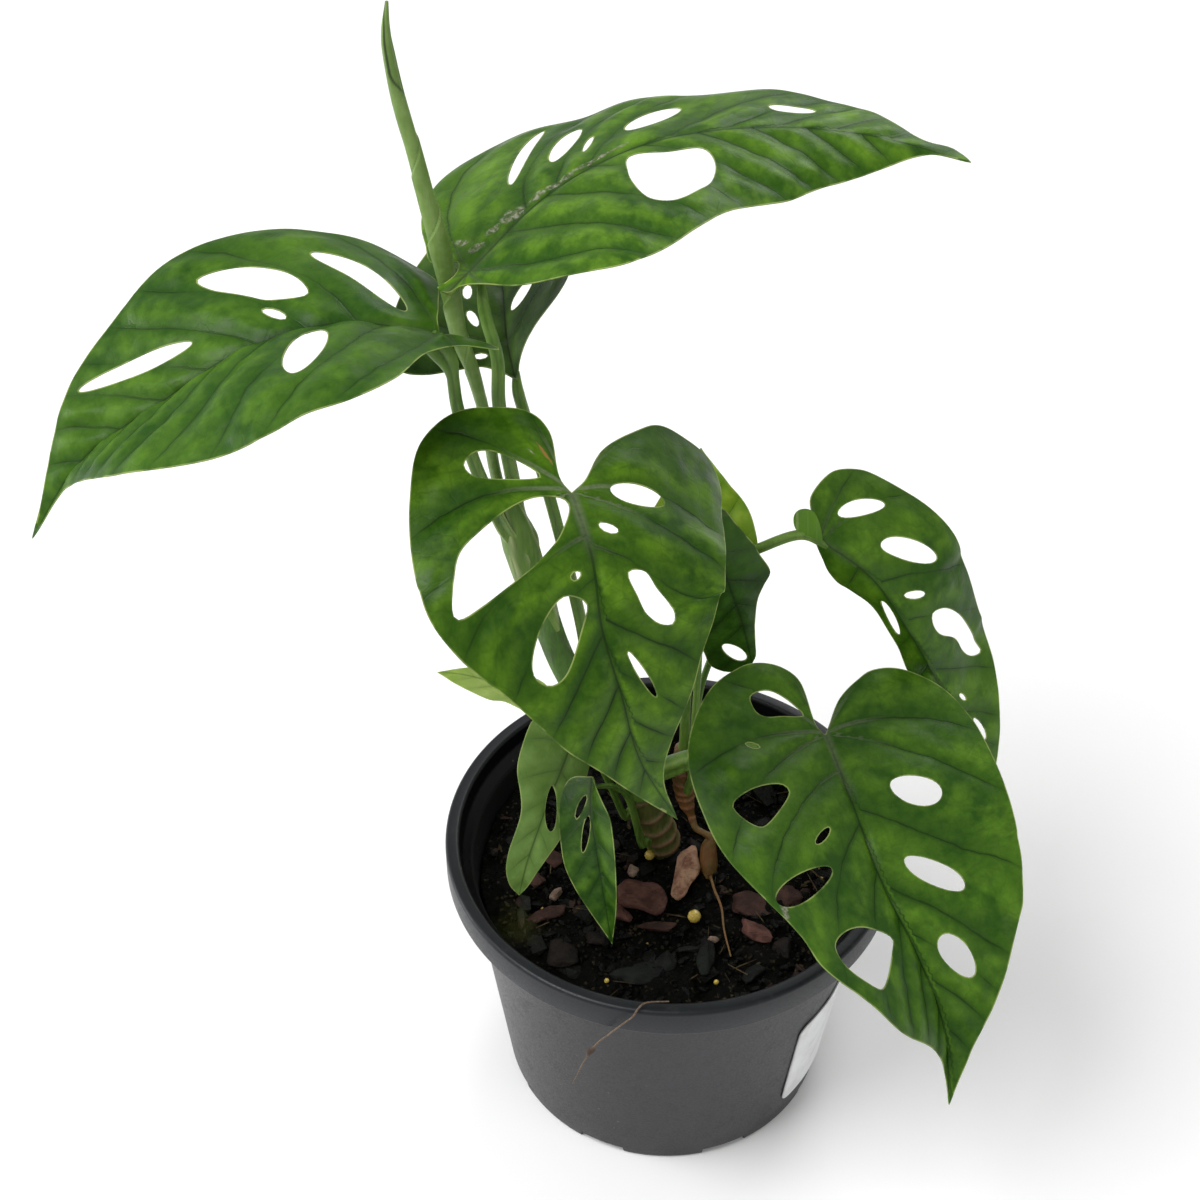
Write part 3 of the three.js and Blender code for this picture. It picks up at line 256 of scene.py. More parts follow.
# Leaf shapes, in mm and degrees, nearly as in the solids: midrib points, which way the blade faces at base
# and tip, and for each half its lift, curl and edge as [along, across]; ovals are [along, across, length,
# width, turn]
leaves = {
    "leaf_top_right": dict(
        midrib=[[-55, 2, 303], [-36, 20, 315], [-12, 32, 323], [16, 38, 325], [44, 39, 323],
            [70, 36, 318]],
        faces=[[-0.14, 0.16, 0.98], [-0.42, -0.14, 0.9]],
        left=dict(lift=[4, -12], curl=-0.27, edge=[[-3, 2.9], [-1, 3.4], [0.6, 6], [-1.4, 9.4], [-3, 14],
            [0, 20], [9, 34], [24, 46], [38, 48], [50, 40], [59, 42], [75, 29], [92, 28], [103, 22],
            [113, 15], [128, 4], [136, 4], [141, 0]]),
        right=dict(lift=[10, -17], curl=-0.25, edge=[[-3, -2.9], [-5, -3], [-8, -4], [-8, -1], [-5, 3],
            [2, 24], [8, 35], [18, 45], [26, 48], [38, 48], [58, 42], [75, 33], [92, 27], [101, 21],
            [118, 10], [131, 1], [141, 0]]),
        ovals=[[33.5, -28, 29, 4, -59], [41.5, -20.5, 18, 5.5, -55], [45.5, -14, 8.5, 2, -60],
            [62, -16.5, 16, 7.5, -22], [95.5, -12.5, 11, 6, 17]],
        cuts=[[[51, 4], [48, 11], [47, 17], [48, 26], [53, 30], [58, 30], [64, 27], [69, 23], [72, 14],
            [70, 8], [60, 7]]],
        stalk=[[-41.8, 4.7, 212.8], [-42.7, 4.4, 217.7], [-44.5, 3, 224], [-45.5, 1.5, 236],
            [-47, -2, 253], [-48, -4.5, 268], [-48, -4, 281], [-51, -2, 294], [-54, 3, 303.5]],
        stalkRadii=[2.3, 1.6]),
    "leaf_top_left": dict(
        midrib=[[-62, -5, 289], [-86, -9, 294], [-109, -15, 290], [-130, -22, 278], [-152, -27, 262],
            [-168, -31, 239]],
        faces=[[0.01, 0.15, 0.99], [0.15, -0.16, 0.98]],
        left=dict(lift=[21, 23], curl=-0.69, edge=[[-3, 2], [-13, 15], [-3, 15], [5, 21], [14, 37],
            [25, 45], [38, 46], [46, 46], [59, 42], [85, 26], [112, 3], [125, 1], [131, 0]]),
        right=dict(lift=[14, 31], curl=-0.61, edge=[[0, 0], [0.5, 5], [-0.2, 12], [0.4, 29], [13, 38],
            [27, 42], [36, 45], [55, 43], [74, 35], [91, 25], [106, 10], [117, 4], [131, 0]]),
        ovals=[[19, 18.5, 31, 7, 50], [40.5, 7, 7, 2.5, 44], [34.5, -17.5, 24, 10, -78],
            [78, 13, 33.5, 5, 12]],
        cuts=[[[55, 29], [45, 28], [35, 20], [32, 11], [41, 12], [45, 15], [53, 23]]],
        stalk=[[-44.6, 0.9, 212.1], [-45.6, 0.7, 217], [-48.5, -3, 226], [-54.5, -6, 247],
            [-58.5, -6, 266], [-60, -6, 280], [-63.5, -5.3, 289.2]],
        stalkRadii=[2.3, 1.5]),
    "leaf_top_back": dict(
        midrib=[[-44, -1, 273], [-47, 12, 275], [-49, 26, 276], [-51, 42, 276], [-53, 59, 276],
            [-56, 79, 275]],
        faces=[[-0.54, -0.31, 0.78], [-0.04, -0.11, 0.99]],
        left=dict(lift=[22, 15], curl=-0.09, edge=[[0, 0], [3, 3], [7, 8], [8, 14], [9, 23], [12, 29],
            [22, 31], [37, 28], [60, 17], [70, 11], [81, 0]]),
        right=dict(lift=[28, 4], curl=-0.1, edge=[[0, 1], [5, 7], [9, 24], [12, 27], [22, 26], [43, 21],
            [61, 14], [75, 7], [81, 0]]),
        ovals=[[27.5, 7, 11, 6.5, 39], [36.5, -9.5, 6.5, 2.5, 3], [25, -8.5, 7.5, 2.5, -14],
            [10.5, -7.5, 4, 2, -75]],
        cuts=[],
        stalk=[[-23.6, 9.1, 157.9], [-25.7, 8.9, 162.4], [-28.5, 9, 183], [-35.5, 9, 221],
            [-41.5, 6, 252], [-43.5, 2, 266], [-44.3, 0.5, 273.1]],
        stalkRadii=[1.9, 1.6]),
    "leaf_heart_front": dict(
        midrib=[[-27, -38, 266], [-21, -56, 260], [-18, -68, 248], [-13, -74, 232], [-8, -76, 211],
            [2, -71, 184]],
        faces=[[0.4, -0.73, 0.55], [0.22, -0.79, 0.58]],
        left=dict(lift=[-4, 5], curl=-0.64, edge=[[0, 0], [-3, 4], [-13, 12], [-21, 25], [-25, 34],
            [-25, 43], [-22, 54], [-15, 56], [-3, 51], [15, 42], [46, 32], [58, 21], [76, 10], [88, 3],
            [106, 0]]),
        right=dict(lift=[2, 6], curl=-0.56, edge=[[0, 0], [-4, 2], [-19, 1], [-25, 5], [-27, 13],
            [-27, 24], [-20, 34], [-5, 40], [10, 43], [23, 43], [31, 41], [45, 27], [63, 18], [76, 9],
            [106, 0]]),
        ovals=[[0.5, -18.5, 15.5, 7, -82], [11.5, -6.5, 5.5, 3, -64], [52.5, -6.6, 14.4, 2.1, -15],
            [24, 5, 3, 1.8, 58]],
        cuts=[[[-11, 25], [-14, 22], [-14, 18], [-8, 9], [-5, 7], [-7, 23]], [[1, 10], [3, 2], [12, 6],
            [18, 12], [29, 28], [31, 35], [25, 35], [14, 32], [9, 26]], [[29, 6], [31, 3], [36, 5],
            [45, 12], [46, 16], [43, 19], [39, 18], [29, 9]], [[24, -8.7], [23.8, -13.4], [28.3, -16],
            [33.3, -18.6], [40, -19.6], [43, -18.3], [41.3, -15.1], [36.5, -12.1], [30.5, -10.4]]],
        stalk=[[-15.6, 1.7, 136.6], [-17.5, 1.5, 141.2], [-18, 0, 160], [-20.5, -2, 181], [-23, -14, 222],
            [-25.5, -28, 252], [-26.6, -39.3, 265.5]],
        stalkRadii=[1.9, 1.5]),
    "leaf_heart_right": dict(
        midrib=[[44, -12, 158], [52, -33, 150], [60, -51, 139], [70, -66, 127], [78, -79, 112],
            [81, -91, 93]],
        faces=[[0.28, -0.27, 0.92], [0.37, -0.2, 0.91]],
        left=dict(lift=[7, 30], curl=-0.19, edge=[[0, 0], [-10, 8], [-15, 16], [-17, 21], [-16, 30],
            [-8, 41], [3, 46], [12, 47], [34, 46], [56, 42], [63, 38], [78, 26], [95, 9], [102, 5],
            [113, 0]]),
        right=dict(lift=[8, 38], curl=-0.28, edge=[[0, 0], [-3, 2], [-18, 2], [-23, 7], [-25, 16],
            [-24, 21], [-19, 31], [-4, 43], [20, 49], [30, 49], [51, 40], [58, 40], [72, 32], [81, 26],
            [98, 5], [113, 0]]),
        ovals=[[1, 25, 4, 2, -63], [30.5, 15.5, 8.5, 2, 65], [41.5, 29.5, 24.5, 5.5, 79],
            [23.5, -19.5, 16, 9, -63], [50, -15.5, 20.5, 7.5, -36], [73, -10.5, 14.5, 7.5, -22]],
        cuts=[[[-14.6, 19.8], [-15.8, 16.4], [-15.2, 13], [-12.4, 9.2], [-9.6, 6.8], [-6.7, 5.1],
            [-6.4, 6.5], [-7, 12.1], [-7.6, 17.6], [-9.2, 19.6], [-11.8, 20.2]], [[19, 39], [15, 31],
            [15, 21], [17, 20], [24, 30], [25, 34]], [[56, 31], [54, 25], [55, 17], [61, 8], [64, 11],
            [69, 19], [70, 25], [65, 30], [60, 32]]],
        stalk=[[-8.8, 5.6, 120.4], [-6.6, 4.6, 121.2], [5.5, -1, 134], [17, -4, 141], [31, -8, 150],
            [44.5, -13.3, 157.4]],
        stalkRadii=[4, 1.7]),
    "leaf_right_back": dict(
        midrib=[[40, 19, 205], [55.5, 15.5, 194], [67.5, 12.5, 176.5], [79.5, 14, 153], [93, 16, 129],
            [100, 17, 100]],
        faces=[[0.02, -0.47, 0.88], [0.12, -0.61, 0.79]],
        left=dict(lift=[-3, -3], curl=-0.7, edge=[[0, 0], [-6.7, 5.5], [-8.8, 9], [-7.1, 19.4],
            [-3.7, 24.2], [4.4, 29.9], [17.2, 32], [35.8, 32], [58.6, 28.5], [72.9, 26.1], [80.9, 22.2],
            [87.3, 16.8], [93.6, 11.6], [100.2, 7.9], [125, 0]]),
        right=dict(lift=[-66, -62], curl=-1, edge=[[0, 0], [-1.5, 1.2], [1, 3.2], [4.6, 5.9], [8.8, 9.2],
            [15.5, 11.4], [22.5, 10.6], [29, 7.8], [38, 7], [48.2, 7], [59, 8.2], [75, 8.5], [89, 7],
            [112, 3], [125, 0]]),
        ovals=[[6.4, -16.5, 17.5, 5, -47], [23.1, -15.6, 19, 6, -40], [33, -8, 8, 2.5, -50],
            [34.8, 3.2, 14, 2.8, 4], [92, -3, 10.5, 2, -3], [77.6, -4.1, 4, 1.5, -10]],
        cuts=[[[43.6, -10], [45.9, -14.2], [53.1, -18.4], [62.5, -20.4], [71.3, -20.6], [76.3, -20.2],
            [73.7, -16.7], [66.4, -13.7], [59.1, -13], [51.1, -8.6], [46.4, -8.3]]],
        stalk=[[3.5, 10, 127.3], [3.5, 10, 132.3], [3.5, 12, 150], [4.5, 15, 168], [8.5, 17.5, 186],
            [16, 18, 197], [23, 17, 203], [34, 18.5, 207], [41.2, 18.8, 204.1]],
        stalkRadii=[1.7, 1.5]),
    "leaf_folded": dict(
        midrib=[[8, 5, 224], [9.9, 3.5, 216.7], [11.8, 3, 208.9], [14.8, 5, 197.1], [18, 8.5, 184.1],
            [20.7, 12.5, 170.3], [22.7, 15.5, 158.6]],
        faces=[[0.3, -0.8, 0.5], [0.2, -0.92, 0.35]],
        left=dict(lift=[-4, -4], curl=-0.5, edge=[[0, 0], [-1, 3.7], [5, 6.7], [15, 10.5], [21.6, 11.6],
            [32.3, 12.9], [35.4, 9.8], [38.8, 6.9], [47.8, 4], [58.6, 2.4], [65.5, 1.6], [68.8, 0]]),
        right=dict(lift=[-8, -20], curl=-0.3, edge=[[0, 0], [-1.6, 1.5], [2, 5.5], [8.7, 9.5], [18, 12.8],
            [29, 14.9], [44, 15.5], [54, 14], [62, 13.3], [69, 12.5], [72.5, 9], [72.5, 4], [68.8, 0]]),
        ovals=[[61.5, 4.4, 12, 5, -22]],
        cuts=[],
        stalk=[[6, 5.7, 118.2], [5.9, 5.7, 123.2], [6.5, 4.5, 160], [6.5, 5, 190], [6.5, 6, 212],
            [8.4, 4.5, 222.6]],
        stalkRadii=[1.2, 1]),
    "leaf_pale": dict(
        midrib=[[16, 29, 172], [14, 28, 184], [12, 28, 196], [10, 28, 208], [7, 28, 219], [5, 29, 228]],
        faces=[[-0.15, -0.63, 0.76], [-0.44, -0.57, 0.7]],
        left=dict(lift=[22, 16], curl=-0.26, edge=[[0, 1], [14, 13], [21, 18], [28, 21], [40, 18],
            [54, 4], [58, 0]]),
        right=dict(lift=[22, 23], curl=-0.25, edge=[[0, 1], [10, 7], [22, 12], [32, 14], [48, 9],
            [58, 0]]),
        ovals=[],
        cuts=[],
        stalk=[[6, 14.3, 118.2], [5.9, 14.3, 123.2], [8, 21, 143], [13, 27.5, 159], [15.8, 29, 173.5]],
        stalkRadii=[1.2, 1]),
    "leaf_small_left": dict(
        midrib=[[-31, 20, 129], [-39, 20, 135], [-47, 19, 139], [-55, 20, 142], [-64, 21, 144],
            [-73, 22, 144]],
        faces=[[-0.04, 0.22, 0.97], [-0.05, 0.15, 0.99]],
        left=dict(lift=[7, 6], curl=-0.43, edge=[[0, 1], [5, 9], [13, 13], [23, 8], [28, 10], [37, 7],
            [46, 0]]),
        right=dict(lift=[4, 3], curl=-0.45, edge=[[0, 1], [1, 7], [8, 8], [12, 12], [21, 12], [33, 6],
            [46, 0]]),
        ovals=[],
        cuts=[],
        stalk=[[-13.2, 11.2, 105], [-15.2, 12.5, 104.4], [-22, 16, 120], [-32.3, 20, 129.8]],
        stalkRadii=[1.3, 1]),
    "leaf_low_left": dict(
        midrib=[[-31, 6, 131], [-34, -3, 127], [-37, -10, 122], [-40, -17, 116], [-43, -23, 108],
            [-45, -27, 99]],
        faces=[[0.34, -0.93, 0.15], [0.19, -0.91, 0.36]],
        left=dict(lift=[1, 8], curl=-0.45, edge=[[0, 0], [-2, 5], [0, 9], [5, 10], [14, 8], [28, 7.8],
            [35, 5.8], [42, 3.6], [47, 1.8], [50, 0]]),
        right=dict(lift=[4, 8], curl=-0.44, edge=[[0, 0], [-3, 6], [-2, 13], [1, 17], [13, 15],
            [20, 10.2], [25.5, 7.4], [37, 6.7], [42, 5.8], [47, 3.4], [50, 0]]),
        ovals=[[21, -1.7, 13.5, 4, -21]],
        cuts=[],
        stalk=[[-12.5, 6.2, 101.7], [-14.6, 5.2, 101], [-23, 4, 126], [-31.5, 4.7, 130.4]],
        stalkRadii=[1.3, 1]),
    "leaf_low_narrow": dict(
        midrib=[[-24, -6, 130], [-24, -14, 124], [-22, -22, 117], [-20, -29, 110], [-18, -35, 102],
            [-16, -41, 94]],
        faces=[[-0.5, -0.74, 0.45], [-0.44, -0.76, 0.48]],
        left=dict(lift=[22, 19], curl=-0.34, edge=[[0, 0], [13, 9], [19, 9], [39, 5], [51, 0]]),
        right=dict(lift=[19, 13], curl=-0.35, edge=[[0, 0], [1, 7], [22, 11], [32, 9], [51, 0]]),
        ovals=[[9, 3, 7, 2, 26], [17, 2.5, 11.5, 2, 18]],
        cuts=[],
        stalk=[[-7.4, 4.9, 91], [-8.7, 2.8, 90.4], [-13, 2, 112], [-18, -1.5, 121], [-24, -7.2, 129]],
        stalkRadii=[1.4, 1]),
}


# The two stems, the root that lies on the soil and the newest leaf, still rolled up
mainStem = dict(
    axis=[[-1, 11, 72], [-3, 10, 87], [-10, 8, 110], [-19, 7, 132.5], [-26.5, 6, 150.5], [-34, 5, 169],
          [-42, 4, 202], [-44, 3.5, 212]],
    radii=[5.6, 5.4, 5, 4.6, 4.3, 4, 4.1, 3.6], rings=[0.085, 0.118, 0.155, 0.2, 0.26])
sideStem = dict(
    axis=[[12, -3, 74], [12.5, -2, 78], [12.5, 1, 84], [12.5, 3.5, 89], [13, 4.5, 92.5], [11, 5, 94],
          [8, 6, 95.5], [6.5, 8, 99], [5, 9, 103.5], [4, 10, 108.5], [3.5, 10, 117], [3.5, 10, 127]],
    radii=[1.7, 2.4, 2.95, 2.5, 1.45, 1, 1, 1.2, 2.4, 3.2, 3.3, 3],
    rings=[0.5, 0.58, 0.64, 0.7, 0.77, 0.85, 0.94])
sheath = dict(axis=[[-37, 4.6, 181], [-39.5, 4.3, 192], [-42, 3.9, 202], [-44.4, 2.8, 213], [-46.4, 0.8, 224],
                    [-48.2, -1.2, 234]],
              radii=[3.8, 4.5, 4.9, 4.9, 3.9, 2.6])
surfaceRoot = dict(axis=[[13.2, -3, 82.5], [13.6, -5.4, 84], [14.8, -10.2, 84.3], [16.9, -17, 84.3],
                         [17.8, -25.6, 84.2], [19.9, -35.2, 83.6]],
                   radii=[0.7, 0.5, 0.42, 0.38, 0.33, 0.25])
rolledLeaf = dict(
    axis=[[-44.5, 4.2, 203], [-46.2, 5.1, 211.9], [-49.2, 5, 228], [-50.9, 4, 240], [-51.7, 2.5, 251],
          [-53.1, 1.5, 262], [-55.2, 1.5, 273], [-58.1, 3, 281.5], [-60.3, 4.5, 295.5], [-62.2, 4.6, 308],
          [-65.2, 5, 323.5], [-67.5, 5, 336], [-70, 5, 348], [-71.6, 5, 360], [-71.9, 5, 366],
          [-71.2, 5, 373]],
    radii=[1.8, 1.7, 1.6, 1.6, 1.6, 1.6, 1.9, 2.2, 2.6, 2.75, 2.2, 1.9, 1.8, 1.5, 1.1, 0.4],
    overlap=0.16, turns=9.2, rolledFrom=0.3, rolledBy=0.45, mouthFrom=0.845, mouthTurn=1.35)


def stalkRoot(start):  # a point inside the nearest stem, a little below where a stalk starts
    for stem in (mainStem, sideStem):
        path = curveThrough(stem["axis"], 0.5)[0]
        gap = np.linalg.norm(path - np.array(start), axis=1)
        below = path[np.argmin(gap + 99 * (path[:, 2] > start[2] + 3))]
        if np.linalg.norm(below - start) < 8:
            lower = path[np.argmin(np.abs(path[:, 2] - (start[2] - stalks["reach"])))]
            return (0.62 * lower + 0.38 * (np.array(start) - [0, 0, stalks["reach"]])).tolist()
    return None


# How each leaf looks: face colours, how clear the pale panels and the veins are, and scars as
# [along, across, length, width, turn, kind] where kind 1 is grey cork and 2 is brown
leafLook = {
    "leaf_top_right": dict(deep=(42, 80, 10), fresh=(106, 148, 34), panels=0.5, veins=0.75, puff=1.5,
                           slot="leaf_green", scars=[[19, -3, 7, 4, 8, 1], [12.5, -3.8, 5, 2.4, 20, 1],
                           [26, -2, 6, 2.2, 0, 1], [33, -1.8, 9, 1.8, 4, 1], [45, -2.4, 16, 1.6, -4, 1],
                           [6.5, -4, 5, 2.6, 30, 1], [6, -10, 6, 2.4, 70, 1]]),
    "leaf_top_left": dict(deep=(40, 78, 14), fresh=(94, 136, 32), panels=0.4, veins=0.65, puff=1.8,
                          slot="leaf_green"),
    "leaf_top_back": dict(deep=(46, 76, 26), fresh=(92, 126, 50), panels=0.4, veins=0.5,
                          slot="leaf_dark"),
    "leaf_heart_front": dict(deep=(38, 74, 6), fresh=(100, 142, 26), panels=0.5, veins=1.0, puff=1.5,
                             streaks=0.45, slot="leaf_dark", scars=[[-11.7, 4.3, 7, 0.9, -22, 2],
                             [-12.6, 7.9, 2.6, 0.6, -36, 1]]),
    "leaf_heart_right": dict(deep=(41, 78, 14), fresh=(98, 140, 34), panels=0.45, veins=0.85, puff=1.3,
                             streaks=0.3, slot="leaf_green", scars=[[45, 40, 5, 2, 30, 1]]),
    "leaf_right_back": dict(deep=(44, 82, 12), fresh=(100, 142, 32), panels=0.45, veins=0.8,
                            slot="leaf_green"),
    # The folded leaf's greens are darker than the other leaves': painted shade, as it hangs in shadow
    "leaf_folded": dict(deep=(32, 64, 10), fresh=(68, 110, 24), panels=0.4, veins=0.6, slot="leaf_dark"),
    "leaf_pale": dict(deep=(102, 142, 26), fresh=(162, 192, 56), panels=0.5, veins=0.35,
                      slot="leaf_pale"),
    "leaf_small_left": dict(deep=(134, 168, 60), fresh=(194, 214, 112), panels=0.5, veins=0.3,
                            slot="leaf_pale"),
    "leaf_low_left": dict(deep=(96, 130, 58), fresh=(142, 174, 94), panels=0.4, veins=0.4,
                          slot="leaf_grey"),
    "leaf_low_narrow": dict(deep=(34, 68, 10), fresh=(96, 136, 40), panels=0.5, veins=0.4,
                            slot="leaf_green"),
}
blade = dict(thickness=0.5, rimThickness=0.22, quilt=0.5, puff=0.5, groove=0.6, rib=0.9, wave=0.45,
             leanLow=0.25, leanHigh=1.2, leanBy=0.55, veinBend=0.009, veinEvery=14, lobeVeins=26)


def loopThrough(pairs, step, closed):
    swapped = [[across, along] for along, across in pairs]
    return curveThrough(swapped, step, closed, centripetal=True)[0]


def leafOutline(leaf, step):
    right = loopThrough(leaf["right"]["edge"], step, False)
    left = loopThrough([[a, -c] for a, c in leaf["left"]["edge"]], step, False)[::-1]
    loop = np.vstack([right, left])
    keep = [i for i in range(len(loop)) if np.linalg.norm(loop[i] - loop[i - 1]) > 0.3 * step]
    return loop[keep]


def ovalHole(oval, step):
    along, across, length, width, turn = oval
    count = max(int(math.pi * (length + width) / 2 / step), 8)
    t = np.linspace(0, 2 * math.pi, count, endpoint=False)
    wobble = 1 + 0.05 * np.sin(2 * t + along) + 0.03 * np.sin(3 * t + across)
    u = length / 2 * np.cos(t) * wobble
    w = width / 2 * np.sin(t) * wobble
    tilt = math.radians(90 - turn)
    return np.stack([across + u * math.cos(tilt) - w * math.sin(tilt),
                     along + u * math.sin(tilt) + w * math.cos(tilt)], axis=1)


def insideLoop(points, loop):
    x, y = points[:, 0], points[:, 1]
    inside = np.zeros(len(points), bool)
    for (x1, y1), (x2, y2) in zip(loop, np.roll(loop, -1, axis=0)):
        crosses = (y1 > y) != (y2 > y)
        if y1 != y2:
            inside ^= crosses & (x < (x2 - x1) * (y - y1) / (y2 - y1) + x1)
    return inside


def distanceToLoops(points, loops):
    nearest = np.full(len(points), 1e9)
    for loop in loops:
        for a, b in zip(loop, np.roll(loop, -1, axis=0)):
            ab = b - a
            t = np.clip(((points - a) @ ab) / max(ab @ ab, 1e-9), 0, 1)
            off = points - a - t[:, None] * ab
            nearest = np.minimum(nearest, np.einsum("ij,ij->i", off, off))
    return np.sqrt(nearest)


# Even triangles that fill an outline and leave its holes free
def fillOutline(outline, holes, step, creaseAtZero=False):
    loops = [outline] + holes
    low = outline.min(axis=0)
    high = outline.max(axis=0)
    rows = []
    y = low[1]
    odd = 0
    while y < high[1]:
        x = np.arange(math.floor(low[0] / step) * step + odd * step / 2, high[0], step)
        rows.append(np.stack([x, np.full(len(x), y)], axis=1))
        y += step * 0.866
        odd = 1 - odd
    grid = np.vstack(rows)
    if creaseAtZero:
        grid = grid[np.abs(grid[:, 0]) > 0.55 * step]
        crease = np.arange(low[1], high[1], step)
        grid = np.vstack([grid, np.stack([np.zeros(len(crease)), crease], axis=1)])
    grid = grid[insideLoop(grid, outline)]
    for hole in holes:
        grid = grid[~insideLoop(grid, hole)]
    grid = grid[distanceToLoops(grid, loops) > 0.6 * step]
    points = np.vstack(loops + [grid])
    edges = []
    start = 0
    for loop in loops:
        edges += [(start + i, start + (i + 1) % len(loop)) for i in range(len(loop))]
        start += len(loop)
    made = delaunay_2d_cdt([Vector(p) for p in points.tolist()], edges, [], 0, 1e-5)
    flat = np.array([[v.x, v.y] for v in made[0]])
    triangles = np.array([list(face) for face in made[2]])
    middle = flat[triangles].mean(axis=1)
    keep = insideLoop(middle, outline)
    for hole in holes:
        keep &= ~insideLoop(middle, hole)
    triangles = triangles[keep]
    used = np.unique(triangles)
    index = np.full(len(flat), -1)
    index[used] = np.arange(len(used))
    flat = flat[used]
    triangles = index[triangles]
    a, b, c = flat[triangles[:, 0]], flat[triangles[:, 1]], flat[triangles[:, 2]]
    down = (b - a)[:, 0] * (c - a)[:, 1] - (b - a)[:, 1] * (c - a)[:, 0] < 0
    triangles[down] = triangles[down][:, ::-1]
    edge = distanceToLoops(flat, loops)
    sides = np.sort(np.vstack([triangles[:, [0, 1]], triangles[:, [1, 2]], triangles[:, [2, 0]]]), axis=1)
    sides, uses = np.unique(sides, axis=0, return_counts=True)
    across = (uses == 2) & (edge[sides] < 0.001).all(axis=1)
    edge[sides[across].ravel()] = 0.6  # no pale margin where a strip is too narrow to show one
    return flat, triangles, edge


def sheetFaces(triangles, count):  # the two faces of a thin sheet, and the strip round its edges
    faces = triangles.tolist() + (triangles[:, ::-1] + count).tolist()
    directed = {(a, b) for t in triangles.tolist() for a, b in ((t[0], t[1]), (t[1], t[2]), (t[2], t[0]))}
    return faces + [[b, a, a + count, b + count] for a, b in directed if (b, a) not in directed]


def both(values):
    return np.concatenate([values, values])


# Side veins leave the midrib steeper towards the tip. veinFoot finds where on the midrib the vein through a
# point starts, from the point's distance to the midrib and its place along it.
def veinLean(foot, length):
    rise = smoothStep(foot, 0, blade["leanBy"] * length)
    return blade["leanLow"] + (blade["leanHigh"] - blade["leanLow"]) * rise


def veinFoot(width, along, length):
    low = np.full(np.shape(along), -90.0)
    high = np.array(along, float)
    for _ in range(26):
        foot = (low + high) / 2
        over = foot + veinLean(foot, length) * width + blade["veinBend"] * width**2 > along
        high = np.where(over, foot, high)
        low = np.where(over, low, foot)
    return (low + high) / 2


# Side veins run between the holes: their feet on the midrib are worked out from the holes' places
def veinFeet(leaf, side, length):
    spots = [(a, c) for a, c, *rest in leaf["ovals"]]
    spots += [tuple(np.mean(cut, axis=0)) for cut in leaf["cuts"]]
    levels = sorted(float(veinFoot(abs(c), a, length)) for a, c in spots if c * side > 0)
    levels = [level for level in levels if level > 3]
    merged = []
    for level in levels:
        if merged and level - merged[-1] < 7:
            merged[-1] = (merged[-1] + level) / 2
        else:
            merged.append(level)
    marks = [0.0] + [(a + b) / 2 for a, b in zip(merged, merged[1:])]
    every = blade["veinEvery"] * min(1, length / 100 + 0.15)
    while marks[-1] < length:
        marks.append(marks[-1] + every)
    feet = [0.0]
    for mark in marks[1:]:
        span = mark - feet[-1]
        parts = max(1, round(span / every - 0.25))
        feet += [feet[-1] + span * (k + 1) / parts for k in range(parts)]
    return feet


def veinPlaces(leaf, flat, length):
    x, y = flat[:, 0], flat[:, 1]
    width = np.abs(x)
    foot = veinFoot(width, y, length)
    place = np.zeros(len(flat))
    gap = np.zeros(len(flat))
    for side in (-1, 1):
        mine = (x * side > 0) | ((x == 0) & (side == 1))
        feet = np.array(veinFeet(leaf, side, length))
        above = mine & (foot >= 0)
        place[above] = np.interp(foot[above], feet, np.arange(len(feet)))
        gap[above] = np.interp(foot[above], feet[:-1], np.diff(feet))
    growth = (veinLean(foot + 0.5, length) - veinLean(foot - 0.5, length)) * width
    gap *= (1 + growth) / np.sqrt(1 + (veinLean(foot, length) + 2 * blade["veinBend"] * width) ** 2)
    behind = foot < 0
    turn = np.arctan2(-foot[behind], width[behind] + 0.5)
    place[behind] = -turn / math.radians(blade["lobeVeins"])
    gap[behind] = np.hypot(foot[behind], width[behind]) * math.radians(blade["lobeVeins"])
    return place, np.maximum(gap, 0.5)


class Blade:  # maps the flat leaf to its bent place
    def __init__(self, leaf):
        self.leaf = leaf
        path, along, _ = curveThrough(leaf["midrib"], 0.5)
        self.path = path
        self.along = along
        self.length = along[-1]
        self.tangent = np.gradient(path, axis=0)
        self.tangent /= np.linalg.norm(self.tangent, axis=1)[:, None]

    def bend(self, across, along, height):
        u = np.clip(along / self.length, 0, 1)
        at = u * self.length
        pick = lambda rows: np.stack([np.interp(at, self.along, rows[:, k]) for k in range(3)], axis=1)
        forward = pick(self.tangent)
        forward /= np.linalg.norm(forward, axis=1)[:, None]
        middle = pick(self.path) + forward * (along - at)[:, None]
        first, last = np.array(self.leaf["faces"])
        up = first + (last - first) * u[:, None]
        up -= forward * np.einsum("ij,ij->i", up, forward)[:, None]
        up /= np.linalg.norm(up, axis=1)[:, None]
        outward = np.cross(forward, up)
        rightward = np.where(across < 0, -1.0, 1.0)
        outward = outward * rightward[:, None]
        lifts = [np.array(self.leaf[h]["lift"], float) for h in ("left", "right")]
        curls = [math.radians(self.leaf[h]["curl"]) for h in ("left", "right")]
        isLeft = across < 0
        start = np.radians(np.where(isLeft, lifts[0][0] + (lifts[0][1] - lifts[0][0]) * u,
                                    lifts[1][0] + (lifts[1][1] - lifts[1][0]) * u))
        curl = np.where(isLeft, curls[0], curls[1])
        width = np.abs(across)
        end = start + curl * width
        out = (np.sin(end) - np.sin(start)) / curl
        rise = (np.cos(start) - np.cos(end)) / curl
        tilt = end * smoothStep(width, 0, 1.5)
        return (middle + outward * (out - np.sin(tilt) * height)[:, None]
                + up * (rise + np.cos(tilt) * height)[:, None])


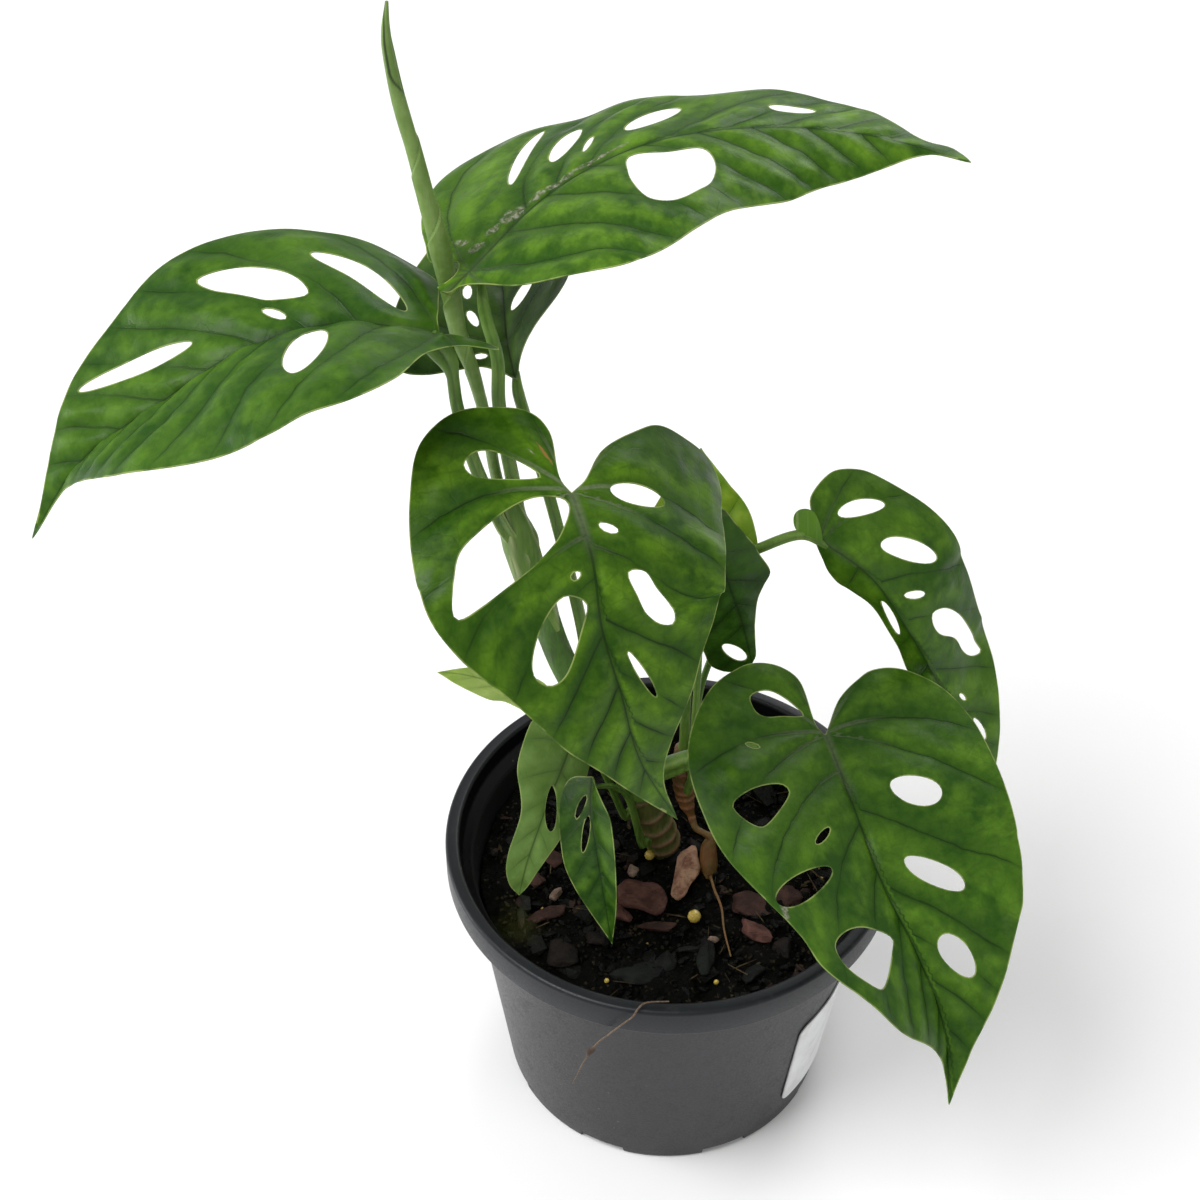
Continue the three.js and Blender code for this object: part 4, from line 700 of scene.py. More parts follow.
def bladeForm(form, name, leaf, seed):
    bent = Blade(leaf)
    small = min(1, bent.length / 100)
    outline = leafOutline(leaf, fine)
    holes = [ovalHole(oval, fine) for oval in leaf["ovals"]]
    holes += [loopThrough(cut, fine, True)[:-1] for cut in leaf["cuts"]]
    flat, triangles, edge = fillOutline(outline, holes, fine, creaseAtZero=True)
    x, y = flat[:, 0], flat[:, 1]
    place, gap = veinPlaces(leaf, flat, bent.length)
    fromVein = np.abs(place - np.round(place)) * gap
    taper = np.clip(1.15 - y / bent.length, 0.1, 1)
    ease = smoothStep(edge, 0, 6)
    nearMid = np.exp(-(x / (1.5 * taper + 0.4)) ** 2)
    swell = 0.5 - 0.5 * np.cos(2 * math.pi * place)
    crease = np.exp(-(fromVein / 1.5) ** 2)
    puff = blade["puff"] * leafLook[name].get("puff", 1)
    relief = small * (puff * swell - blade["quilt"] * crease) * (0.1 + 0.9 * ease)
    relief = relief * (0.8 + 0.3 * ripple(x, y, 22, seed + 7))
    relief = relief * (1 - nearMid) - blade["groove"] * small * nearMid * taper
    relief += blade["wave"] * small * ripple(x, y, 38, seed) * smoothStep(np.abs(x), 2, 18)
    relief += 0.14 * small * ripple(x, y, 9, seed + 40) * smoothStep(np.abs(x), 2, 10) * ease
    thick = blade["rimThickness"] + (blade["thickness"] - blade["rimThickness"]) * smoothStep(edge, 0, 2.5)
    ribs = blade["rib"] * small * taper * np.exp(-(x / (1.1 * taper + 0.3)) ** 2)
    ribs += 0.3 * small * taper * np.exp(-(fromVein / 0.9) ** 2) * smoothStep(edge, 0, 5)
    top = bent.bend(x, y, relief + thick / 2)
    bottom = bent.bend(x, y, relief - thick / 2 - ribs)
    count = len(flat)
    faces = sheetFaces(triangles, count)
    form.add(np.vstack([top, bottom]), faces, 0, across=both(x), along=both(y), veinPlace=both(place),
             veinGap=both(gap), edge=both(np.minimum(edge, 8)),
             under=np.concatenate([np.zeros(count), np.ones(count)]), taper=both(taper))
    return bent


def scarMask(f, flat, unevenness, scars, kind):
    mask = 0.0
    for along, across, length, width, turn, which in scars:
        if which == kind:
            feeds = {"Vector": flat, "Location": (across, along, 0),
                     "Rotation": (0, 0, math.radians(90 - turn)), "Scale": (length / 2, width / 2, 1)}
            local = f.node("Mapping", feeds, vector_type="TEXTURE").outputs[0]
            reach = f.node("VectorMath", {0: local}, operation="LENGTH").outputs["Value"]
            reach = f.sums("ADD", reach, f.times(f.sums("SUBTRACT", unevenness, 0.5), 1.6))
            mask = f.sums("MAXIMUM", mask, f.step(reach, 0.6, 1.2, 1.0, 0.0))
    return mask


def bladeFinish(name, look, seed):
    f = Finish(name, 0.42, Specular_IOR_Level=0.14)
    across, along = f.attribute("across"), f.attribute("along")
    edge, under, taper = f.attribute("edge"), f.attribute("under"), f.attribute("taper")
    flat = f.node("CombineXYZ", {"X": across, "Y": along}).outputs[0]
    shifted = f.node("VectorMath", {0: flat, 1: (seed * 37.0, seed * 11.0, 0.0)}, operation="ADD").outputs[0]
    large = f.cloud(shifted, 30, 2)
    middle = f.cloud(shifted, 8, 3)
    patchy = f.cloud(shifted, 3.6, 3, 0.6)
    small = f.cloud(shifted, 1.4, 4, 0.65)
    wide = f.sums("ABSOLUTE", across)
    reach = f.node("VectorMath", {0: flat}, operation="LENGTH").outputs["Value"]
    place = f.sums("ADD", f.attribute("veinPlace"), f.times(f.sums("SUBTRACT", middle, 0.5), 0.1))
    nearest = f.node("Math", {0: place}, operation="ROUND").outputs[0]
    cell = f.sums("ABSOLUTE", f.sums("SUBTRACT", place, nearest))
    fromVein = f.times(cell, f.attribute("veinGap"))
    fade = f.times(f.step(edge, 0.5, 6.0, 0.25, 1.0), f.step(patchy, 0.3, 0.55, 0.7, 1.0))
    vein = f.times(f.step(fromVein, 0.08, 0.34, 1.0, 0.0), fade)
    veinShade = f.times(f.step(fromVein, 0.1, 1.3, 1.0, 0.0), fade)
    half = f.times(f.sums("ABSOLUTE", f.sums("SUBTRACT", cell, 0.5)), f.attribute("veinGap"))
    arch = f.times(f.step(half, 0.08, 0.45, 1.0, 0.0), f.step(middle, 0.46, 0.6))
    wobble = f.node("TexNoise", {"Vector": shifted, "Scale": 0.16, "Detail": 2.0}).outputs["Color"]
    warped = f.node("VectorMath", {0: wobble, 1: (6.0, 6.0, 0.0), 2: shifted},
                    operation="MULTIPLY_ADD").outputs[0]
    net = f.step(f.cells(warped, 6.5), 0.01, 0.06, 1.0, 0.0)
    finer = f.step(f.cells(warped, 2.1), 0.02, 0.12, 1.0, 0.0)
    midrib = f.step(f.sums("DIVIDE", wide, taper), 0.22, 0.5, 1.0, 0.0)
    midShade = f.step(f.sums("DIVIDE", wide, taper), 0.4, 2.2, 1.0, 0.0)
    deep, fresh = colour(*look["deep"]), colour(*look["fresh"])
    shade = lambda share: tuple(share * c for c in deep[:3]) + (1,)
    panel = f.times(f.step(cell, 0.05, 0.42), f.step(middle, 0.36, 0.66))
    broad = f.times(f.step(large, 0.34, 0.68), 0.32)
    panel = f.sums("ADD", f.times(panel, look["panels"]), broad, clamp=True)
    panel = f.sums("ADD", panel, f.times(f.sums("SUBTRACT", patchy, 0.5), 0.55), clamp=True)
    base = f.blend(panel, deep, fresh)
    mesh = f.sums("MAXIMUM", net, f.times(finer, 0.5))
    # The vein lines and the bands beside them (vein, veinShade) are darker copies of the deep colour: painted
    # shade of the vein grooves
    for lines, amount, tone in ((mesh, 0.2, 0.7), (arch, 0.16, 0.75), (veinShade, 0.62, 0.62),
                                (vein, 0.85, 0.36)):
        base = f.tint(base, lines, amount * look["veins"], shade(tone))
    # Darker band and line along the midrib: painted shade of the midrib groove
    base = f.tint(base, midShade, 0.5, shade(0.6))
    base = f.tint(base, midrib, 0.75, shade(0.4))
    nearBase = f.times(f.step(reach, 5.0, 24.0, 1.0, 0.0), f.step(small, 0.3, 0.6, 0.6, 1.0))
    greyLines = f.sums("MAXIMUM", f.step(fromVein, 0.2, 0.8, 1.0, 0.0), f.times(midShade, 0.8))
    base = f.tint(base, f.times(greyLines, nearBase), look.get("streaks", 0.12), colour(140, 150, 118))
    rim = f.times(f.step(edge, 0.1, 0.42, 1.0, 0.0), f.step(middle, 0.38, 0.56, 0.15, 1.0))
    base = f.tint(base, rim, 0.6, colour(176, 188, 112))
    cork = f.times(scarMask(f, flat, patchy, look.get("scars", ()), 1), f.step(small, 0.36, 0.6, 0.3, 1.0))
    brown = scarMask(f, flat, small, look.get("scars", ()), 2)
    corky = f.blend(f.step(small, 0.4, 0.65), colour(92, 96, 74), colour(158, 156, 138))
    base = f.tint(base, cork, 0.8, corky)
    base = f.tint(base, brown, 0.85, colour(158, 112, 62))
    mixed = lambda share, more: colour(*[(1 - share) * d + share * p + more
                                         for d, p in zip(look["deep"], look["fresh"])])
    back = f.blend(f.step(large, 0.36, 0.66), mixed(0.3, 12), mixed(0.62, 16))
    back = f.tint(back, f.sums("MAXIMUM", f.times(vein, 0.7), midrib), 0.7, colour(126, 150, 84))
    base = f.blend(under, base, back)
    rough = f.step(patchy, 0.3, 0.7, 0.32, 0.46)
    rough = f.sums("ADD", rough, f.times(under, 0.12), clamp=True)
    rough = f.sums("ADD", rough, f.times(f.sums("MAXIMUM", cork, brown), 0.3), clamp=True)
    height = f.sums("SUBTRACT", f.times(patchy, 0.5), f.times(vein, 0.35))
    height = f.sums("ADD", height, f.times(small, 0.1))
    height = f.sums("SUBTRACT", height, f.times(net, 0.08))
    height = f.sums("ADD", height, f.times(cork, 0.5))
    return f.done(base, rough, height, depth=0.3, strength=0.7)


def stalkFinish(name, main, pale):
    f = Finish(name, 0.4, Specular_IOR_Level=0.25)
    streak = f.cloud(f.place((1, 1, 0.12)), 1.1, 4, 0.6)
    broad = f.cloud(f.place(), 14, 2)
    between = colour(*[0.6 * a + 0.4 * b for a, b in zip(main, pale)])
    base = f.blend(f.step(broad, 0.35, 0.65), colour(*main), between)
    base = f.tint(base, f.step(streak, 0.5, 0.75), 0.4, colour(*pale))
    base = f.tint(base, f.step(streak, 0.25, 0.45, 1.0, 0.0), 0.5, colour(*[0.62 * c for c in main]))
    # Darker along the stalk's groove and on one side of the sheath: painted shade
    base = f.tint(base, f.attribute("groove"), 0.45, colour(*[0.55 * c for c in main]))
    base = f.tint(base, f.attribute("wing"), 0.7, colour(186, 192, 140))
    return f.done(base, f.step(streak, 0.3, 0.7, 0.36, 0.5), streak, depth=0.12)


def stalkSection(winged, flare):
    def section(turn, share, along):
        groove = 0.26 * np.exp(-(turn / 0.4) ** 2) * smoothStep(share, 0.12, 0.3)
        wings = winged * (1 - smoothStep(share, 0.25, 0.6))
        wings = wings * np.exp(-((np.abs(turn) - 0.8) / 0.22) ** 2)
        return (1 - groove + 0.6 * wings) * (1 + flare * smoothStep(share, 0.84, 0.99) * np.sin(turn) ** 2)
    return section


# Stalks. wings: how wide the thin sheath edges are; flare: how far the stalk widens under the blade
stalks = dict(main=(80, 116, 38), pale=(142, 170, 84), widen=1.35, reach=9,
              wings={"leaf_top_right": 0.4, "leaf_top_left": 0.7, "leaf_top_back": 0.6,
                     "leaf_heart_front": 0.5, "leaf_heart_right": 0.3, "leaf_right_back": 0.2},
              flare={"leaf_top_left": 2.2})
stalkGreen = stalkFinish("stalk green", stalks["main"], stalks["pale"])


def addStalk(form, name, leaf, bent):
    winged = stalks["wings"].get(name, 0.15)
    points = [list(p) for p in leaf["stalk"]]
    radii = np.linspace(*leaf["stalkRadii"], len(points)) * 0.97
    end = bent.bend(np.array([0.0]), np.array([3.0]), np.array([-1.4]))[0]
    points[-1] = end.tolist()
    radii[-1] *= 0.6
    root = stalkRoot(points[0])
    if root:  # the foot sinks into its stem and widens there
        points = [root] + points
        radii = np.concatenate([[radii[0] * stalks["widen"]], radii])
        radii[1] *= 0.5 + 0.5 * stalks["widen"]
    wing = lambda turn, share, along: np.clip(1.6 * winged * (1 - smoothStep(share, 0.3, 0.65))
                                              * np.exp(-((np.abs(turn) - 0.85) / 0.14) ** 2), 0, 1)
    # Marks the stalk's channel, where its finish paints shade
    groove = lambda turn, share, along: np.exp(-(turn / 0.3) ** 2) * smoothStep(share, 0.1, 0.3)
    section = stalkSection(winged, stalks["flare"].get(name, 0))
    addBar(form, points, radii, 20, 1.0, section, slot=1, wing=wing, groove=groove)


# The small lobe of the right back leaf that curls up over the end of its stalk
curledLobe = dict(leaf="leaf_right_back", middle=[36, 19.4, 210.2], right=[0.999, 0.051, 0.001],
                  up=[-0.035, 0.668, 0.743], toward=[0.037, -0.742, 0.669], cup=0.07, thickness=0.4,
                  edge=[[-3.7, 2.9], [-2.6, 4.1], [-0.6, 4.5], [1.4, 3.8], [2.8, 1.8], [3.6, -0.7],
                        [4.2, -4.7], [2.8, -4.4], [0.8, -3.6], [-1.5, -2.7], [-3.2, -1.6], [-4.0, 0.7]])


def addCurledLobe(form):
    lobe = curledLobe
    outline = curveThrough(lobe["edge"], 0.6, True, centripetal=True)[0][:-1]
    flat, triangles, edge = fillOutline(outline, [], 0.8)
    x, y = flat[:, :1], flat[:, 1:]
    right, up, toward = [np.array(lobe[k]) for k in ("right", "up", "toward")]
    front = np.array(lobe["middle"]) + x * right + y * up - lobe["cup"] * (x**2 + 0.5 * y**2) * toward
    behind = front - lobe["thickness"] * toward
    count = len(flat)
    faces = sheetFaces(triangles, count)
    form.add(np.vstack([front, behind]), faces, 0, across=both(flat[:, 0] + 3), along=both(flat[:, 1]) + 12,
             veinPlace=both(flat[:, 0] / 2.6), veinGap=2.6, edge=both(edge), taper=1.0,
             under=np.concatenate([np.ones(count), np.zeros(count)]))


for seed, (name, leaf) in enumerate(leaves.items()):
    form = Form()
    bent = bladeForm(form, name, leaf, seed)
    if name == curledLobe["leaf"]:
        addCurledLobe(form)
    addStalk(form, name, leaf, bent)
    look = leafLook[name]
    finish = bladeFinish(name + " blade", look, seed)
    leafPiece = form.piece(name + "_live", [finish, stalkGreen], sharp=50)
    standsFor(leafPiece, look["slot"], name)


def ringBumps(rings, width):
    def section(turn, share, along):
        bumps = sum(np.exp(-((share - at + 0.006 * np.sin(turn + 9 * at)) / width) ** 2) for at in rings)
        return 1 + 0.09 * bumps + 0.03 * np.sin(3 * turn + 20 * share) + 0.02 * np.sin(5 * turn - 31 * share)
    return section


def ringShade(rings, width):
    return lambda turn, share, along: np.clip(
        sum(np.exp(-((share - at + 0.006 * np.sin(turn + 9 * at)) / width) ** 2) for at in rings), 0, 1)


def sheathSection(turn, share, along):  # wraps the feet of the upper stalks, with two raised edges
    edges = 0.1 * np.exp(-((np.abs(turn - 0.9 * share) - 0.9) / 0.16) ** 2)
    return 1 + edges - 0.08 * np.exp(-((turn - 0.9 * share) / 0.5) ** 2)


def stemFinish(name, main, pale, ringTone, barkTone, bark, green=None):
    f = Finish(name, 0.5, Specular_IOR_Level=0.4)
    long = f.cloud(f.place((1, 1, 0.15)), 1.2, 5, 0.6)
    broad = f.cloud(f.place(), 7, 4)
    base = f.blend(f.step(broad, 0.35, 0.65), colour(*main), colour(*pale))
    base = f.blend(f.times(f.step(broad, 0.42, 0.6), bark), base, colour(*barkTone))
    base = f.tint(base, f.attribute("ring"), 0.8, colour(*ringTone))
    if green:  # the young upper part
        fresh = f.blend(f.step(broad, 0.35, 0.65), colour(*green), colour(*[1.25 * c for c in green]))
        fresh = f.blend(f.times(f.step(long, 0.5, 0.7), 0.35), fresh, colour(*[1.5 * c for c in green]))
        base = f.blend(f.step(f.attribute("share"), 0.2, 0.36), base, fresh)
    base = f.tint(base, f.step(long, 0.3, 0.52, 1.0, 0.0), 0.5, f.blend(0.5, base, (0, 0, 0, 1)))
    height = f.sums("ADD", long, f.times(f.attribute("ring"), 0.5))
    return f.done(base, f.step(long, 0.3, 0.7, 0.38, 0.6), height, depth=0.35)


form = Form()
addBar(form, mainStem["axis"], mainStem["radii"], 36, 0.7, ringBumps(mainStem["rings"], 0.008),
       ring=ringShade(mainStem["rings"], 0.006))
addBar(form, sheath["axis"], sheath["radii"], 30, 0.8, sheathSection, slot=1,
       wing=lambda turn, share, along: np.exp(-((np.abs(turn - 0.9 * share) - 0.9) / 0.1) ** 2),
       # Marks one side of the sheath, where the stalk finish paints shade
       groove=lambda turn, share, along: 0.5 * np.exp(-((turn + 0.3) / 0.4) ** 2))
stemPiece = form.piece("mainStem", [stemFinish("green stem", (88, 96, 46), (110, 122, 60), (168, 126, 104),
                                               (104, 84, 50), 0.5, green=(60, 92, 26)), stalkGreen])
standsFor(stemPiece, "stem_green", "main_stem")

form = Form()
addBar(form, sideStem["axis"], sideStem["radii"], 28, 0.5, ringBumps(sideStem["rings"], 0.016),
       ring=ringShade(sideStem["rings"], 0.012))
addBar(form, surfaceRoot["axis"], surfaceRoot["radii"], 10, 0.7, ringBumps([0.3, 0.6], 0.05))
sidePiece = form.piece("sideStem", [stemFinish("brown stem", (116, 84, 44), (104, 98, 52), (160, 108, 78),
                                               (128, 74, 36), 0.7)])
standsFor(sidePiece, "stem_brown", "side_stem")


def rolledTurn(turn, share):
    return np.mod(-turn / (2 * math.pi) + rolledLeaf["turns"] * share, 1)


def mouthLine(turn, share):  # how far a point lies past the lip of the outer layer, near the tip
    line = rolledLeaf["mouthTurn"] * (1 - 2 * smoothStep(share, rolledLeaf["mouthFrom"], 0.9))
    return turn - line - 0.9 * smoothStep(-share, -1, -0.96)


def rolledSection(turn, share, along):
    full = smoothStep(share, rolledLeaf["rolledFrom"], rolledLeaf["rolledBy"])
    full = full * (1 - smoothStep(share, 0.8, 0.85))
    around = rolledTurn(turn, share)
    inner = smoothStep(mouthLine(turn, share), -0.1, 0.15) * (np.abs(turn) < 1.9)
    inner = inner * smoothStep(share, rolledLeaf["mouthFrom"] - 0.01, rolledLeaf["mouthFrom"] + 0.01)
    return 1 + full * rolledLeaf["overlap"] * (around - 0.5) - 0.2 * inner


def rolledFinish():
    f = Finish("rolled leaf", 0.45, Specular_IOR_Level=0.35)
    seam, rolled, mouth = f.attribute("seam"), f.attribute("rolled"), f.attribute("mouth")
    streak = f.cloud(f.place((1, 1, 0.12)), 1.2, 3)
    broad = f.cloud(f.place(), 12, 3)
    mottle = f.cloud(f.place(), 2.2, 4, 0.65)
    base = f.blend(f.step(broad, 0.35, 0.65), colour(104, 134, 60), colour(128, 158, 82))
    base = f.tint(base, f.step(mottle, 0.45, 0.7), 0.3, colour(146, 170, 104))
    base = f.tint(base, f.step(streak, 0.3, 0.5, 1.0, 0.0), 0.3, colour(88, 118, 48))
    shade = f.times(f.step(seam, 0.0, 0.07, 1.0, 0.0), rolled)
    base = f.tint(base, shade, 0.6, colour(60, 92, 30))
    lip = f.times(f.step(seam, 0.965, 0.995), rolled)
    base = f.tint(base, lip, 0.4, colour(164, 184, 120))
    # Painted shade inside the open mouth near the tip
    base = f.tint(base, mouth, 0.9, colour(22, 40, 14))
    return f.done(base, f.step(streak, 0.3, 0.7, 0.4, 0.55), f.sums("ADD", streak, mottle), depth=0.15)


form = Form()
addBar(form, rolledLeaf["axis"], rolledLeaf["radii"], 64, 0.6, rolledSection,
       seam=lambda turn, share, along: rolledTurn(turn, share),
       rolled=lambda turn, share, along: smoothStep(share, rolledLeaf["rolledFrom"], rolledLeaf["rolledBy"])
       * (1 - smoothStep(share, 0.8, 0.85)),
       # Marks the open mouth near the tip, where the finish paints shade
       mouth=lambda turn, share, along: np.exp(-((mouthLine(turn, share) - 0.12) / 0.22) ** 2)
       * smoothStep(share, rolledLeaf["mouthFrom"] - 0.01, rolledLeaf["mouthFrom"] + 0.02))
rolledPiece = form.piece("rolledLeaf", [rolledFinish()], sharp=40)
standsFor(rolledPiece, "leaf_new", "leaf_rolled")

# The pot: one turned shape with feet cut into its lower edge
pot = dict(height=100, rim=70, lip=65.5, skirt=9.7, wall=1.6, wallTop=63.1, foot=52.1, footWidth=6, lift=3.5,
           pad=8, round=0.8, draft=0.5, shoulder=4.2, notches=8, notchWidth=15, notchHeight=3, notchTurn=24,
           drain=(9, 6), drainRadius=38)


def wallRadius(z):
    return pot["foot"] + (pot["wallTop"] - pot["foot"]) * z / (pot["height"] - pot["skirt"])


def roundedProfile(corners, step=4.0):  # corners are [radius, height, rounding]
    points = np.array([c[:2] for c in corners], float)
    out = [points[0]]
    for i in range(1, len(points) - 1):
        before, here, after = points[i - 1:i + 2]
        a, b = before - here, after - here
        cut = min(corners[i][2], np.linalg.norm(a) * 0.45, np.linalg.norm(b) * 0.45)
        start = here + a / np.linalg.norm(a) * cut
        stop = here + b / np.linalg.norm(b) * cut
        for t in np.linspace(0, 1, 4 if cut > 0.05 else 1):
            out.append((1 - t) ** 2 * start + 2 * t * (1 - t) * here + t * t * stop)
    out.append(points[-1])
    return np.array(out)


def potProfile():
    p = pot
    skirtFoot = p["height"] - p["skirt"]
    top, under = p["height"], p["height"] - p["wall"]
    floorTop = p["lift"] + p["wall"]
    inFoot = p["foot"] - p["footWidth"]
    return roundedProfile([
        [0, 0, 0], [p["pad"], 0, 0.4], [p["pad"] + p["draft"], p["lift"], 0.4], [inFoot, p["lift"], 0.4],
        [inFoot + p["draft"], 0, 0.5], [p["foot"] - p["draft"], 0, 0.5], [wallRadius(1), 1, 0.6],
        [wallRadius(4.5), 4.5, 0], [wallRadius(8), 8, 0],
        [p["wallTop"], skirtFoot, 0.8], [p["lip"] + p["wall"] - p["draft"], skirtFoot + p["shoulder"], 0.6],
        [p["lip"] + p["wall"], under, 0.5], [p["rim"] - p["wall"], under, 0.5],
        [p["rim"] - p["wall"], skirtFoot, 0.3], [p["rim"], skirtFoot, 0.4], [p["rim"], top - p["round"], 0.5],
        [p["rim"] - p["round"], top, 0.6], [p["lip"] + p["round"], top, 0.6],
        [p["lip"], top - p["round"], 0.5],
        [p["lip"] - p["draft"], skirtFoot + p["shoulder"], 0.8], [p["wallTop"] - p["wall"], skirtFoot, 0.8],
        [wallRadius(floorTop) - p["wall"], floorTop, 1.0], [0, floorTop, 0]])


def notchAngles():  # the middle of each notch, from +X
    return [math.radians(pot["notchTurn"] + 360 / pot["notches"] * i - 90) for i in range(pot["notches"])]


def potForm():
    profile = potProfile()
    turns = list(np.linspace(0, 2 * math.pi, 241)[:-1])
    half = pot["notchWidth"] / 2 / pot["foot"]
    for angle in notchAngles():
        for edge in (angle - half, angle + half):
            turns += [(edge - 0.003) % (2 * math.pi), (edge + 0.003) % (2 * math.pi)]
    turns = np.array(sorted(turns))
    ring = len(turns)
    inner = profile[1:-1]
    z = np.repeat(inner[:, 1][None], ring, axis=0)
    off = np.min([np.abs((turns - a + math.pi) % (2 * math.pi) - math.pi) for a in notchAngles()], axis=0)
    inNotch = (off < half)[:, None] & (inner[:, 0] > pot["foot"] - pot["footWidth"] - 0.5)[None]
    z = np.where(inNotch, np.maximum(z, pot["notchHeight"]), z)
    r = np.repeat(inner[:, 0][None], ring, axis=0)
    low = inNotch & (inner[:, 1] < pot["notchHeight"])[None] & (inner[:, 0] > pot["foot"] - 3)[None]
    r = np.where(low, np.maximum(r, wallRadius(pot["notchHeight"])), r)
    points = np.stack([r * np.cos(turns)[:, None], r * np.sin(turns)[:, None], z], axis=2).reshape(-1, 3)
    rows = len(inner)
    points = np.vstack([points, [[0, 0, profile[0][1]], [0, 0, profile[-1][1]]]])
    faces = []
    for i in range(ring):
        j = (i + 1) % ring
        for k in range(rows - 1):
            faces.append([i * rows + k, j * rows + k, j * rows + k + 1, i * rows + k + 1])
        faces.append([ring * rows, j * rows, i * rows])
        faces.append([ring * rows + 1, i * rows + rows - 1, j * rows + rows - 1])
    form = Form()
    form.add(points, faces)
    return form


def potFinish():
    f = Finish("pot plastic", 0.42, Specular_IOR_Level=0.3)
    here = f.place()
    grain = f.cloud(here, 0.7, 4, 0.6)
    smear = f.cloud(f.place((1, 1, 0.25)), 20, 4, 0.6)
    dust = f.cloud(here, 5, 5, 0.7)
    height = f.node("SeparateXYZ", {0: here}).outputs[2]
    fromAxis = f.node("VectorMath", {0: here, 1: (1.0, 1.0, 0.0)}, operation="MULTIPLY").outputs[0]
    fromAxis = f.node("VectorMath", {0: fromAxis}, operation="LENGTH").outputs["Value"]
    base = f.blend(f.step(smear, 0.3, 0.7), colour(31, 30, 33), colour(37, 36, 40))
    base = f.blend(f.step(height, 89.8, 90.4), base, colour(25, 27, 32))
    base = f.tint(base, f.step(dust, 0.56, 0.8), 0.2, colour(96, 94, 92))
    slope = (pot["wallTop"] - pot["foot"]) / (pot["height"] - pot["skirt"])
    past = f.sums("SUBTRACT", fromAxis, f.sums("ADD", f.times(height, slope), pot["foot"]))
    inside = f.times(f.step(past, -1.2, -0.7, 1.0, 0.0), f.step(height, 6.0, 8.0))
    lipInside = f.times(f.step(fromAxis, 66.1, 66.5, 1.0, 0.0), f.step(height, 89.0, 91.0))
    # Painted shade: the inside of the pot and of its lip are made near-black
    base = f.blend(f.sums("MAXIMUM", inside, lipInside), base, colour(3, 4, 5))
    low = f.times(f.step(height, 2.0, 26.0, 1.0, 0.0), f.step(smear, 0.35, 0.65))
    base = f.tint(base, low, 0.2, colour(84, 80, 76))
    fleck = f.cells(here, 6.5, "F1", "Distance")
    base = f.tint(base, f.step(fleck, 0.035, 0.075, 1.0, 0.0), 0.5, colour(104, 98, 88))
    dusty = f.times(f.step(dust, 0.5, 0.8), 0.14)
    rough = f.sums("ADD", f.step(grain, 0.3, 0.7, 0.34, 0.46), dusty, clamp=True)
    rough = f.sums("ADD", rough, f.times(inside, 0.35), clamp=True)
    flow = f.times(f.step(smear, 0.3, 0.7), 0.8)
    return f.done(base, rough, f.sums("ADD", grain, flow), depth=0.03)


potPiece = potForm().piece("nurseryPot", [potFinish()], sharp=40)
drains = Form()
for angle in notchAngles():
    out = np.array([math.cos(angle), math.sin(angle), 0])
    side = np.array([-math.sin(angle), math.cos(angle), 0])
    corners = [out * (pot["drainRadius"] + u * pot["drain"][0] / 2) + side * v * pot["drain"][1] / 2
               + np.array([0, 0, w]) for w in (1.5, 7.0) for u, v in ((-1, -1), (1, -1), (1, 1), (-1, 1))]
    drains.add(corners, [[3, 2, 1, 0], [4, 5, 6, 7], [0, 1, 5, 4], [1, 2, 6, 5], [2, 3, 7, 6], [3, 0, 4, 7]])
cutter = drains.piece("drains", [])
cut = potPiece.modifiers.new("drains", "BOOLEAN")
cut.object = cutter
cut.operation = "DIFFERENCE"
cut.solver = "EXACT"
finished = bpy.data.meshes.new_from_object(potPiece.evaluated_get(bpy.context.evaluated_depsgraph_get()))
potPiece.modifiers.clear()
potPiece.data = finished
finished.name = "nurseryPot"
finished.set_sharp_from_angle(angle=math.radians(40))
bpy.data.objects.remove(cutter)
standsFor(potPiece, "pot", "pot")

# The blank sticker
sticker = dict(angles=(46.5, 113), heights=(12, 56), thickness=0.4, corner=4, stand=0.3)


def stickerForm():
    low, high = sticker["heights"]
    start, stop = [math.radians(a) for a in sticker["angles"]]
    middle = wallRadius((low + high) / 2)
    width, tall, corner = (stop - start) * middle, high - low, sticker["corner"]
    loop = []
    for cx, cy, first in ((width - corner, corner, -90), (width - corner, tall - corner, 0),
                          (corner, tall - corner, 90), (corner, corner, 180)):
        for k in range(7):
            a = math.radians(first + 15 * k)
            loop.append([cx + corner * math.cos(a), cy + corner * math.sin(a)])
    dense = np.vstack([np.linspace(a, b, max(int(np.linalg.norm(np.subtract(b, a)) / 1.5), 1), endpoint=False)
                       for a, b in zip(loop, loop[1:] + loop[:1])])
    flat, triangles, edge = fillOutline(dense, [], 1.6)
    turn = start + flat[:, 0] / middle
    z = low + flat[:, 1]
    bubble = 0.06 * ripple(flat[:, 0], flat[:, 1], 16, 5)
    layers = []
    for lift in (sticker["stand"] + sticker["thickness"], sticker["stand"]):
        r = wallRadius(z) + lift + bubble - 0.12 * (1 - smoothStep(edge, 0, 1))
        layers.append(np.stack([r * np.sin(turn), -r * np.cos(turn), z], axis=1))
    faces = sheetFaces(triangles, len(flat))
    form = Form()
    form.add(np.vstack(layers), faces, edge=np.concatenate([edge, edge]))
    return form


def stickerFinish():
    f = Finish("sticker", 0.35)
    here = f.place()
    fibre = f.cloud(here, 0.6, 4)
    stain = f.cloud(here, 9, 4, 0.6)
    base = f.blend(f.step(stain, 0.4, 0.75), colour(236, 237, 238), colour(214, 214, 210))
    base = f.tint(base, f.step(f.attribute("edge"), 0.1, 1.4, 1.0, 0.0), 0.35, colour(170, 170, 168))
    height = f.sums("ADD", fibre, f.times(stain, 0.7))
    return f.done(base, f.step(fibre, 0.3, 0.7, 0.3, 0.42), height, depth=0.06)


